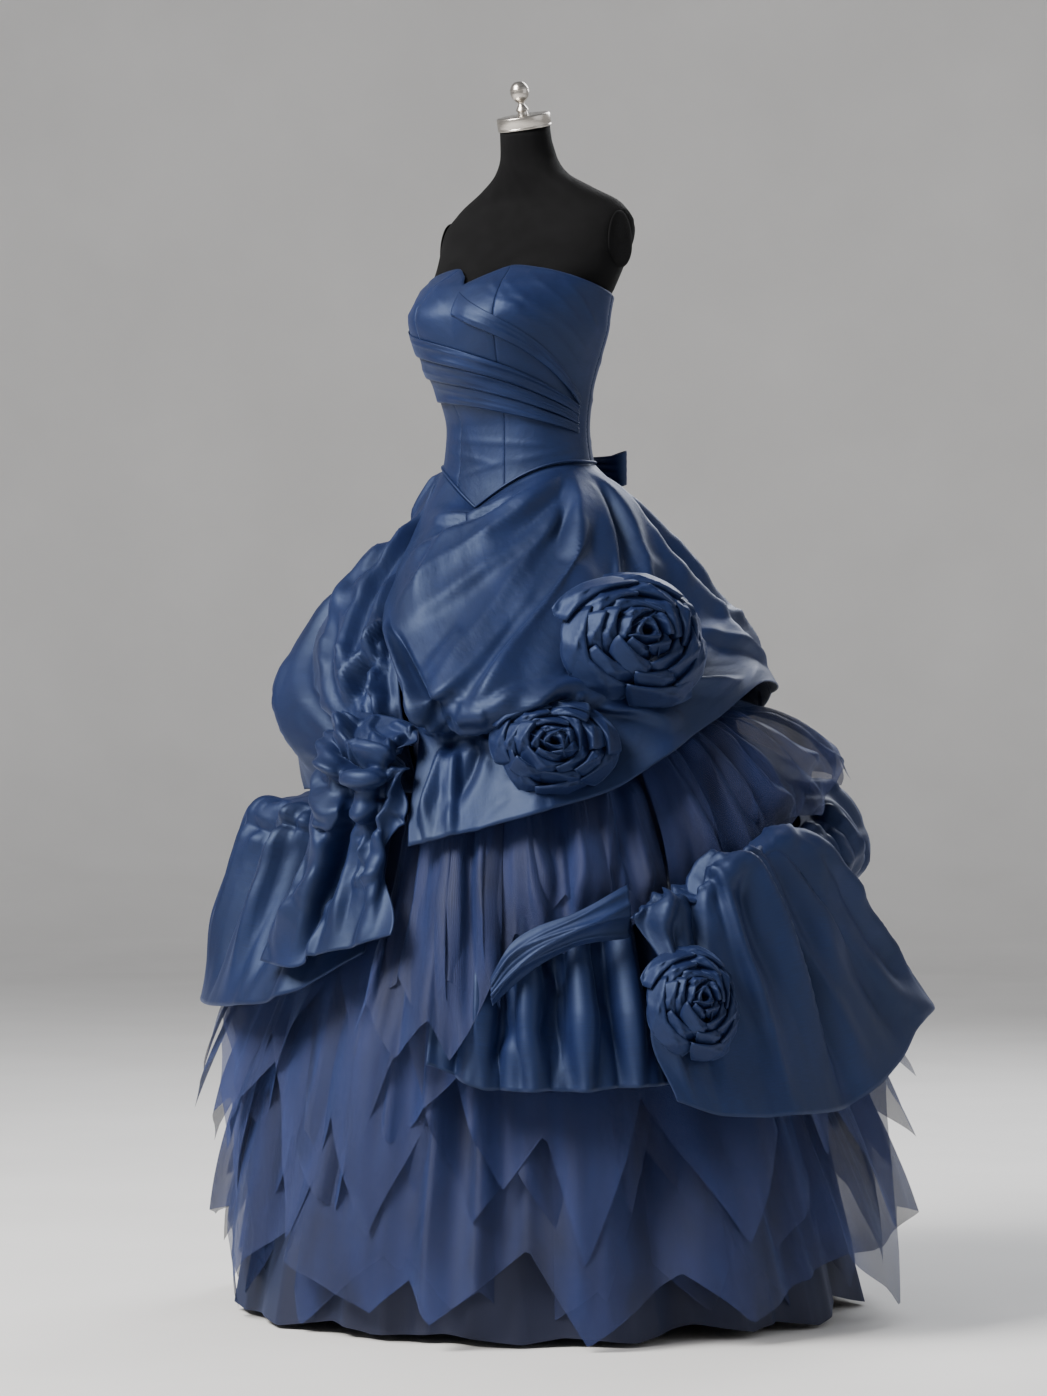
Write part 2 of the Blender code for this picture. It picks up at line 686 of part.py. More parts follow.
def petal_heights(ring, seed):
    """Height of the ragged hem at each column of a ring: long points with short ones between."""
    name, waves, *_, highest, lowest, _ = ring
    chance = random.Random(seed)
    per_wave = RING_COLUMNS // waves
    heights = []
    for wave in range(waves):
        deep = lowest + (highest - lowest) * 0.35 * chance.random()
        shallow = highest - (highest - lowest) * 0.35 * chance.random()
        for k in range(per_wave):
            from_crest = 1 - abs(k / per_wave - 0.5) * 2
            heights.append(deep + (shallow - deep) * from_crest)
    for column, height in enumerate(heights):
        share, tip = tip_share(name, column_azimuth(column))
        if tip:
            heights[column] = height + (tip[4] - height) * share
    return heights


def column_azimuth(column):
    return FIRST_GORE_DEG + column * 360 / RING_COLUMNS


def petticoat_radius(z):
    for upper, lower in zip(PETTICOAT_RADII, PETTICOAT_RADII[1:]):
        if z >= lower[0]:
            share = (upper[0] - z) / (upper[0] - lower[0])
            return upper[1] + (lower[1] - upper[1]) * share


def ring_point(ring, column, z):
    """Point of a tulle ring: it flares and waves more and more on its way down."""
    name, waves, top_z, gap, gain, depth, *_ = ring
    azimuth = column_azimuth(column)
    below = max(0.0, WAVES_START_Z - z) / WAVES_START_Z
    spread = (top_z - z) / top_z
    radius = max(
        petticoat_radius(z),
        form_reach(azimuth, z) + PETTICOAT_CLEARANCE,
    )
    radius += gap + gain * math.sin(spread * math.pi / 2)
    radius += depth * smoothstep(below * 1.4) * math.cos(math.radians(waves * (azimuth - FIRST_GORE_DEG)))
    share, tip = tip_share(name, azimuth)
    if tip:
        radius += tip[3] * share * spread**3
    return skirt_point(azimuth, radius, z)


def make_rings():
    per_gore = RING_COLUMNS // GORES
    for seed, ring in enumerate(TULLE_RINGS):
        heights = petal_heights(ring, seed)
        for gore in range(GORES):
            columns = range(gore * per_gore, (gore + 1) * per_gore + 1)
            rows = [[ring_point(ring, c, z) for c in columns] for z in (ring[2], *ring[-1])]
            rows.append([ring_point(ring, c, heights[c % RING_COLUMNS]) for c in columns])
            trim_ends(rows, SEAM)
            wall(f"{ring[0]}_{gore + 1}", rows, TULLE, "tulle")


# Bodice


def bodice_point(azimuth, v, out):
    z = neckline_z(azimuth) + (seam_z(azimuth) + 2 * SEAM - neckline_z(azimuth)) * v
    return form_point(azimuth, z, out)


def make_bodice():
    for name, first, last in BODICE_PANELS:
        count = round((last - first) / COLUMN_DEG)
        rows = [
            [
                bodice_point(first + COLUMN_DEG * j, v, BODY_CLEARANCE)
                for j in range(count + 1)
            ]
            for v in BODICE_ROWS
        ]
        trim_ends(rows, SEAM)
        wall(name, rows, BODICE, "taffeta")


def make_pleats():
    """Folded strips over the bodice front, each thick at its lower, folded edge."""
    for number, row in enumerate(PLEATS):
        first, last, upper_start, upper_end, lower_start, lower_end, lift = row
        base = BODY_CLEARANCE + BODICE + lift
        bm = bmesh.new()
        sections = []
        count = round((last - first) / COLUMN_DEG)
        for j in range(count + 1):
            t = j / count
            azimuth = first + COLUMN_DEG * j
            sag = PLEAT_SAG * math.sin(math.pi * t)
            high = upper_start + (upper_end - upper_start) * t + sag - SEAM
            low = lower_start + (lower_end - lower_start) * t + sag
            middle = (high + low) / 2
            corners = (
                (high, base),
                (middle, base),
                (low, base),
                (low, base + PLEAT_THICK),
                (middle, base + PLEAT_THICK),
                (high, base + PLEAT_THIN),
            )
            sections.append([bm.verts.new(bodice_shell(azimuth, z, out)) for z, out in corners])
        for a, b in zip(sections, sections[1:]):
            for k in range(6):
                m = (k + 1) % 6
                bm.faces.new((a[k], a[m], b[m], b[k]))
        bm.faces.new(sections[0][::-1])
        bm.faces.new(sections[-1])
        bmesh.ops.recalc_face_normals(bm, faces=bm.faces)
        mesh = bpy.data.meshes.new(f"bodice_pleat_{number + 1}")
        bm.to_mesh(mesh)
        bm.free()
        shade(mesh, 35)
        pleat = add_object(mesh.name, mesh, "taffeta")
        seat([pleat], [panel[0] for panel in BODICE_PANELS], -direction((first + last) / 2))


def make_piping():
    """Thin covered cord that runs round the basque seam."""
    out = BODY_CLEARANCE + BODICE + PIPING_RADIUS + SEAM
    bm = bmesh.new()
    rings = []
    for column in range(round(360 / COLUMN_DEG)):
        azimuth = column * COLUMN_DEG
        z = seam_z(azimuth) + PIPING_RADIUS + 4 * SEAM
        ring = []
        for k in range(5):
            turn = 2 * math.pi * k / 5
            point = form_point(azimuth, z, out + PIPING_RADIUS * math.cos(turn))
            ring.append(bm.verts.new(point + Vector((0.0, 0.0, PIPING_RADIUS * math.sin(turn)))))
        rings.append(ring)
    for a, b in zip(rings, [*rings[1:], rings[0]]):
        for k in range(5):
            m = (k + 1) % 5
            bm.faces.new((a[k], b[k], b[m], a[m]))
    bmesh.ops.recalc_face_normals(bm, faces=bm.faces)
    mesh = bpy.data.meshes.new("basque_piping")
    bm.to_mesh(mesh)
    bm.free()
    shade(mesh, 80)
    add_object("basque_piping", mesh, "taffeta")


# Seating one piece on another


def world_triangles(obj):
    """The corners and triangles of an object, as it stands in the world."""
    evaluated = obj.evaluated_get(bpy.context.evaluated_depsgraph_get())
    mesh = evaluated.to_mesh()
    mesh.calc_loop_triangles()
    corners = [obj.matrix_world @ vertex.co for vertex in mesh.vertices]
    triangles = [tuple(t.vertices) for t in mesh.loop_triangles]
    evaluated.to_mesh_clear()
    return corners, triangles


def edge_samples(corners, triangles):
    edges = {tuple(sorted(pair)) for t in triangles for pair in zip(t, (t[1], t[2], t[0]))}
    for first, second in sorted(edges):
        a, b = corners[first], corners[second]
        count = 2 + int((b - a).length / SAMPLE_STEP)
        for k in range(count + 1):
            yield a.lerp(b, k / count)


def way_to(obj, targets, inward):
    """Shortest way along inward from obj to any of the targets."""
    mine = world_triangles(obj)
    mine_tree = BVHTree.FromPolygons(*mine)
    nearest = math.inf
    for target in targets:
        theirs = world_triangles(target)
        theirs_tree = BVHTree.FromPolygons(*theirs)
        for points, tree, way in (
            (edge_samples(*mine), theirs_tree, inward),
            (edge_samples(*theirs), mine_tree, -inward),
        ):
            hits = (tree.ray_cast(point, way)[3] for point in points)
            nearest = min([nearest, *(hit for hit in hits if hit is not None)])
    return nearest


def seat(objects, target_names, inward):
    """Moves objects together along inward until they lie a seam's width off the targets."""
    bpy.context.view_layer.update()
    targets = [bpy.data.objects[name] for name in target_names]
    nearest = min(way_to(obj, targets, inward) for obj in objects)
    for obj in objects:
        obj.location += inward * (nearest - SEAM)


# Roses


def rose_point(rose, t, level):
    """Point of a rose's folded ribbon in the rose's own frame: x across, y up, z out of the skirt."""
    _, _, _, half_width, half_height, depth, turns, *_ = rose
    angle = 2 * math.pi * turns * t
    grow = 0.14 + 0.86 * t**0.85
    fold = abs(math.sin(angle * 1.5 + 0.6))
    reach = (0.80 + 0.20 * level) * grow * (0.94 + 0.06 * fold)
    height = depth * level * (1.0 - 0.42 * t) * (0.82 + 0.18 * fold)
    height -= 0.010 * t * t * (1 - level)
    return Vector(
        (
            half_width * reach * math.cos(angle),
            half_height * reach * math.sin(angle),
            height,
        )
    )


def make_roses():
    for rose in ROSES:
        name, azimuth, z, *_, turns, lean, panel_name = rose
        out = direction(azimuth)
        normal = (out + Vector((0, 0, math.tan(math.radians(lean))))).normalized()
        across = Vector((0, 0, 1)).cross(out).normalized()
        up = normal.cross(across).normalized()
        turned = Matrix((across, up, normal)).transposed().to_4x4()
        count = round(turns * ROSE_COLUMNS_PER_TURN)
        rows = [
            [rose_point(rose, j / count, level) for j in range(count + 1)]
            for level in (1.0, 0.45, 0.0)
        ]
        obj = wall(name, rows, ROSE_WALL, "taffeta")
        obj.matrix_world = Matrix.Translation(skirt_point(azimuth, 0.62, z)) @ turned
        seat([obj], [panel_name], -out)


# Sash and bow


def make_sash():
    stations = list(range(len(SASH)))
    columns = 12
    rows = []
    for side in (0.5, 0.0, -0.5):
        row = []
        for j in range(columns + 1):
            t = j / columns * (len(SASH) - 1)
            azimuth, radius, z, height = (
                through(stations, [r[c] for r in SASH], t) for c in range(4)
            )
            bulge = 0.010 * (1 - abs(side) * 2)
            row.append(skirt_point(azimuth, radius + bulge, z + side * height))
        rows.append(row[::-1])
    obj = wall("sash", rows, TAFFETA, "taffeta")
    inward = -direction(SASH[2][0])
    obj.location -= inward * 0.12
    seat([obj], SASH_RESTS_ON, inward)


def make_bow():
    """Two loops and a knot at the centre of the back, resting on the skirt below the seam."""
    columns = 16
    width, depth, height = KNOT_SIZE
    pieces = []
    for side, name in ((1, "bow_loop_left"), (-1, "bow_loop_right")):
        rows = []
        for share in (0.5, 0.0, -0.5):
            row = []
            for k in range(columns):
                angle = 2 * math.pi * k / columns * side
                along = 0.5 + 0.5 * math.cos(angle)
                open_by = math.sin(angle) * (0.35 + 0.65 * along)
                start = width / 2 + TAFFETA + SEAM
                x = side * (start + (BOW_REACH - start) * along)
                y = 0.4 + BOW_DEPTH / 2 * open_by - 0.012 * along**2
                tall = BOW_HEIGHT * (0.5 + 0.5 * along)
                row.append(Vector((x, y, BOW_Z + share * tall)))
            rows.append(row)
        pieces.append(wall(name, rows, TAFFETA, "taffeta", closed=True))
    bm = bmesh.new()
    bmesh.ops.create_cube(bm, size=1.0)
    bmesh.ops.scale(bm, vec=KNOT_SIZE, verts=bm.verts)
    mesh = bpy.data.meshes.new("bow_knot")
    bm.to_mesh(mesh)
    bm.free()
    knot = add_object("bow_knot", mesh, "taffeta")
    knot.location = (0.0, 0.4, BOW_Z)
    bevel = knot.modifiers.new("Rounded", "BEVEL")
    bevel.width = 0.004
    bevel.segments = 2
    pieces.append(knot)
    seat(pieces, BOW_RESTS_ON, Vector((0.0, -1.0, 0.0)))


# Dress form and stand


def hidden_inset(azimuth, z):
    """The form is drawn in a little where the bodice covers it."""
    below_neck = smoothstep((neckline_z(azimuth) + NECK_EASE - z) / 0.02)
    above_seam = smoothstep((z - seam_z(azimuth) + 0.05) / 0.03)
    return FORM_PADDING * below_neck * above_seam


def make_form():
    """Smooth black torso with a neck, cut flat where arms would start."""
    angles = [COLUMN_DEG * k for k in range(round(360 / COLUMN_DEG))]
    heights = [row[0] for row in FORM_SECTIONS]
    rows = [[form_point(a, z, -hidden_inset(a, z)) for a in angles] for z in reversed(heights)]
    cap = cap_matrix()
    rows[0] = [cap @ (direction(a) * NECK_TOP_RADIUS - Vector((0, 0, SEAM))) for a in angles]
    mesh = grid_mesh("form_torso", rows, closed=True)
    bm = bmesh.new()
    bm.from_mesh(mesh)
    bmesh.ops.holes_fill(bm, edges=[e for e in bm.edges if e.is_boundary])
    for side in (1, -1):
        cut = bmesh.ops.bisect_plane(
            bm,
            geom=[*bm.verts, *bm.edges, *bm.faces],
            dist=1e-6,
            plane_co=(side * ARM_CUT_X, 0, 0),
            plane_no=(side, 0, 0),
            clear_outer=True,
        )
        edges = [e for e in cut["geom_cut"] if isinstance(e, bmesh.types.BMEdge)]
        upper = [e for e in edges if e.verts[0].co.z > 1.2]
        lower = [e for e in edges if e.verts[0].co.z <= 1.2]
        for loop in (upper, lower):
            if loop:
                bmesh.ops.edgeloop_fill(bm, edges=loop)
    bmesh.ops.recalc_face_normals(bm, faces=bm.faces)
    bm.to_mesh(mesh)
    bm.free()
    shade(mesh, 40)
    add_object("form_torso", mesh, "jersey")
    arm_centre = Vector((0.0, *ARM_PLATE_CENTRE))
    for side, name in ((1, "form_arm_plate_left"), (-1, "form_arm_plate_right")):
        bpy.ops.mesh.primitive_cylinder_add(vertices=20, radius=1.0, depth=1.0)
        plate = bpy.context.object
        plate.name = plate.data.name = name
        move_to_gown(plate, "jersey")
        plate.data.transform(Matrix.Diagonal((*ARM_PLATE_HALF, ARM_PLATE_THICKNESS, 1.0)))
        plate.rotation_euler = (0.0, math.radians(90), 0.0)
        plate.location = (side * (ARM_CUT_X + ARM_PLATE_THICKNESS / 2 + SEAM), arm_centre.y, arm_centre.z)
        shade(plate.data)


def move_to_gown(obj, material):
    for collection in list(obj.users_collection):
        collection.objects.unlink(obj)
    GOWN.objects.link(obj)
    obj.data.materials.clear()
    obj.data.materials.append(MATERIALS[material])


def cylinder(name, radius, bottom, top, sides, material):
    bpy.ops.mesh.primitive_cylinder_add(vertices=sides, radius=radius, depth=top - bottom)
    obj = bpy.context.object
    obj.name = obj.data.name = name
    obj.location = (0.0, 0.0, (bottom + top) / 2)
    move_to_gown(obj, material)
    shade(obj.data)
    return obj


def turned(name, profile, steps, material):
    """Solid turned from its profile, which runs from the top of the axis to the bottom of it."""
    bm = bmesh.new()
    verts = [bm.verts.new((r, 0.0, z)) for r, z in profile]
    for a, b in zip(verts, verts[1:]):
        bm.edges.new((a, b))
    mesh = bpy.data.meshes.new(name)
    bm.to_mesh(mesh)
    bm.free()
    obj = add_object(name, mesh, material)
    screw = obj.modifiers.new("Turn", "SCREW")
    screw.steps = screw.render_steps = steps
    screw.use_merge_vertices = True
    screw.merge_threshold = 0.0001
    screw.use_normal_calculate = True
    screw.use_smooth_shade = True
    return obj


def make_stand():
    base = cylinder("stand_base", BASE_RADIUS, 0.0, BASE_THICKNESS, 32, "steel")
    bevel = base.modifiers.new("Rounded", "BEVEL")
    bevel.width = 0.004
    bevel.segments = 1
    bevel.limit_method = "ANGLE"
    cylinder("stand_pole", POLE_RADIUS, BASE_THICKNESS + SEAM, FORM_BOTTOM_Z - SEAM, 16, "steel")


def cap_matrix():
    tilt = Matrix.Rotation(math.radians(CAP_TILT_DEG), 4, "X")
    return Matrix.Translation(CAP_CENTRE) @ tilt


def make_neck_cap():
    placed = cap_matrix()
    cap = [
        (0.0, CAP_HEIGHT),
        (CAP_RADIUS - 0.002, CAP_HEIGHT),
        (CAP_RADIUS, CAP_HEIGHT - 0.002),
        (CAP_RADIUS, 0.001),
        (CAP_RADIUS - 0.001, 0.0),
        (0.0, 0.0),
    ]
    turned("neck_cap", cap, 28, "nickel").matrix_world = placed
    finial = [
        (0.0, 0.0455),
        (0.0052, 0.0446),
        (0.0098, 0.0410),
        (0.0124, 0.0352),
        (0.0128, 0.0300),
        (0.0112, 0.0240),
        (0.0075, 0.0190),
        (0.0042, 0.0165),
        (0.0040, 0.0150),
        (0.0078, 0.0085),
        (0.0086, 0.0062),
        (0.0064, 0.0042),
        (0.0072, 0.0),
        (0.0, 0.0),
    ]
    above = Matrix.Translation((0.0, 0.0, CAP_HEIGHT + SEAM))
    turned("finial", finial, 14, "nickel").matrix_world = placed @ above


def main():
    make_form()
    make_neck_cap()
    make_stand()
    make_bodice()
    make_pleats()
    make_piping()
    make_rings()
    make_panels()
    make_sash()
    make_roses()
    make_bow()


clear_scene()
GOWN = new_collection("ball_gown_on_dress_form")
MATERIALS = make_materials()
main()
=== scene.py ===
"""Detailed look of a strapless taffeta ball gown with tulle underskirts on a limbless dress form.

Frame: metres, +Z up, the wearer's front towards -Y and the wearer's left towards +X.
Azimuths are in degrees: 0 at the front, 90 at the wearer's left, 180 at the back.
"""

import math
import random

import bpy
import numpy as np
from mathutils import Matrix, Vector


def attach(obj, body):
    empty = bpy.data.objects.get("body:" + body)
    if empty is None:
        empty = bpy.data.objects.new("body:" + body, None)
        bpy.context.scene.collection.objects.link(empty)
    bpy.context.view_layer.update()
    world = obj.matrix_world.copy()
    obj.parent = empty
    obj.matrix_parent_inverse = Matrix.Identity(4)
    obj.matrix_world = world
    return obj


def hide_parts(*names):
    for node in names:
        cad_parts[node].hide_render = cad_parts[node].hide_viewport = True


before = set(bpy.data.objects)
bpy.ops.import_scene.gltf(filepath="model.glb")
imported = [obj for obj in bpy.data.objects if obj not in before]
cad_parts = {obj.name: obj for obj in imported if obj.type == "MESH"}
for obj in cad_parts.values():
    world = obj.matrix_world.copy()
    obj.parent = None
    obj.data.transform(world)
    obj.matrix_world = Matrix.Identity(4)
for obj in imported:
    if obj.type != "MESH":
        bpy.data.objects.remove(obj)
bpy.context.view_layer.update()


def numbers(text, *scales):
    """Rows of numbers, one to a line, each over its column's scale; the last scale serves all the rest.

    A dash stands for no value, and the name of a seam for the seam's row.
    """
    rows = []
    for line in text.strip().splitlines():
        words = SEAMS.get(line.strip(), line).split()
        units = [*scales, *[scales[-1]] * (len(words) - len(scales))]
        rows.append(tuple(None if w == "-" else float(w) / u for w, u in zip(words, units)))
    return rows


def panel_of(rows, folds="", waves=None):
    """A cloth panel: its rows and folds, and the waves of its hem as their count and depth."""
    return {"rows": numbers(rows, 1, 1, 1, 1000), "folds": numbers(folds, 1000), "waves": waves}


def creases_of(text):
    """Creases, one to a line: places across and down in hundredths, then width and height
    in millimetres and lean in tenths."""
    found = []
    for row in numbers(text, 1):
        line = [(a / 100, b / 100) for a, b in zip(row[:-3:2], row[1:-3:2])]
        found.append((line, row[-3] / 1000, row[-2] / 1000, row[-1] / 10))
    return found


def profile_of(text):
    """Pairs of radius and height in tenths of a millimetre."""
    return [pair for row in numbers(text, 10000) for pair in zip(row[::2], row[1::2])]


# Cloth and clearances
TAFFETA = 0.0016
TULLE = 0.0011
BODICE = 0.0018
PLEAT_CLOTH = 0.0007
ROSE_CLOTH = 0.0011
BOW_CLOTH = 0.0012
PIPING_RADIUS = 0.0016
PIPING_SIDES = 10
SEAM = 0.0004
BODY_CLEARANCE = 0.0013
FORM_PADDING = 0.0055
NECK_EASE = 0.017
PETTICOAT_CLEARANCE = 0.0009

# Heights of the garment
BASQUE_POINT_Z = 1.083
BASQUE_SIDE_RISE = 0.062
BASQUE_SIDE_DEG = 80.0
WAIST_SEAM_Z = BASQUE_POINT_Z + BASQUE_SIDE_RISE
TRAIN = 0.06
# Lower end of the form
FORM_BOTTOM_Z = 0.905

# Neck cap and finial
CAP_CENTRE = Vector((0.0, 0.011, 1.6055))
CAP_HEIGHT = 0.0185
CAP_TILT_DEG = 14.0
NECK_TOP_RADIUS = 0.0345

# Dress form sections: height, centre towards the back, half width, depth in front, depth behind
FORM_SECTIONS = [
    (0.905, 0.010, 0.132, 0.100, 0.106),
    (0.935, 0.010, 0.149, 0.114, 0.124),
    (1.000, 0.008, 0.151, 0.111, 0.122),
    (1.040, 0.006, 0.1415, 0.1055, 0.1095),
    (1.080, 0.004, 0.130, 0.099, 0.096),
    (1.140, 0.001, 0.110, 0.088, 0.075),
    (1.194, 0.000, 0.103, 0.086, 0.068),
    (1.235, 0.000, 0.107, 0.104, 0.068),
    (1.280, 0.000, 0.119, 0.138, 0.073),
    (1.337, 0.000, 0.137, 0.156, 0.078),
    (1.380, 0.010, 0.139, 0.136, 0.080),
    (1.396, 0.016, 0.1412, 0.1150, 0.0845),
    (1.412, 0.022, 0.144, 0.098, 0.088),
    (1.466, 0.042, 0.156, 0.070, 0.070),
    (1.500, 0.046, 0.132, 0.056, 0.056),
    (1.524, 0.038, 0.088, 0.049, 0.048),
    (1.546, 0.026, 0.052, 0.042, 0.042),
    (1.566, 0.020, 0.0395, 0.038, 0.039),
    (1.596, 0.012, 0.0345, 0.0345, 0.0345),
]
ARM_CUT_X = 0.143
ARM_PLATE_CENTRE = (0.034, 1.442)
ARM_PLATE_HALF = (0.045, 0.027)
ARM_PLATE_LOW = 0.032
# Arm plate from its middle outwards: share of its half size, how far it stands proud
ARM_PLATE_PROFILE = (
    *((0.0, 0.0022), (0.60, 0.0021), (0.90, 0.0018)),
    *((0.97, 0.0012), (1.0, 0.0003), (1.0, -0.0010)),
)

# Upper edge of the bodice: azimuth from the front, height
NECKLINE = [
    (0, 1.382),
    (9, 1.396),
    (27, 1.409),
    (45, 1.404),
    (72, 1.388),
    (99, 1.371),
    (135, 1.354),
    (180, 1.346),
]
# Bodice panels: name, first azimuth, last azimuth
BODICE_PANELS = [
    ("bodice_centre_front", -24, 24),
    ("bodice_side_front_left", 24, 96),
    ("bodice_back_left", 96, 180),
    ("bodice_back_right", 180, 264),
    ("bodice_side_front_right", 264, 336),
]

# Draped pleats that fan across the bodice from the wearer's right to the left side seam.
# Each: first and last azimuth, upper height at both ends, lower height at both ends,
# how far it stands off the bodice
PLEATS = [
    (0, 84, 1.372, 1.236, 1.340, 1.2225, 0.0054),
    (-60, 84, 1.337, 1.222, 1.303, 1.210, 0.0038),
    (-60, 84, 1.3025, 1.2095, 1.269, 1.198, 0.0038),
    (-60, 84, 1.269, 1.198, 1.234, 1.186, 0.0038),
]
PLEAT_SAG = 0.006

# Radius of the petticoat, straight between its rows: height, radius
PETTICOAT_RADII = [
    (1.040, 0.112),
    (0.930, 0.214),
    (0.812, 0.277),
    (0.560, 0.3135),
    (0.000, 0.410),
]
GORES = 5
FIRST_GORE_DEG = 30
WAVES_START_Z = 0.54

# Tulle rings: name, waves round the hem, top height, gap over the petticoat at the top,
# gain in radius at the hem, depth of the waves at the hem, highest and lowest hem,
# heights of the rows between its top and its hem
TULLE_RINGS = [
    ("petticoat", 15, 1.040, 0.0, 0.0, 0.008, 0.014, 0.005, (0.930, 0.812, 0.560)),
    ("tulle_low", 15, 0.560, 0.0018, 0.040, 0.019, 0.090, 0.004, (0.440, 0.300, 0.160)),
    ("tulle_mid", 10, 0.590, 0.0018, 0.084, 0.026, 0.300, 0.160, (0.510, 0.430, 0.350)),
]

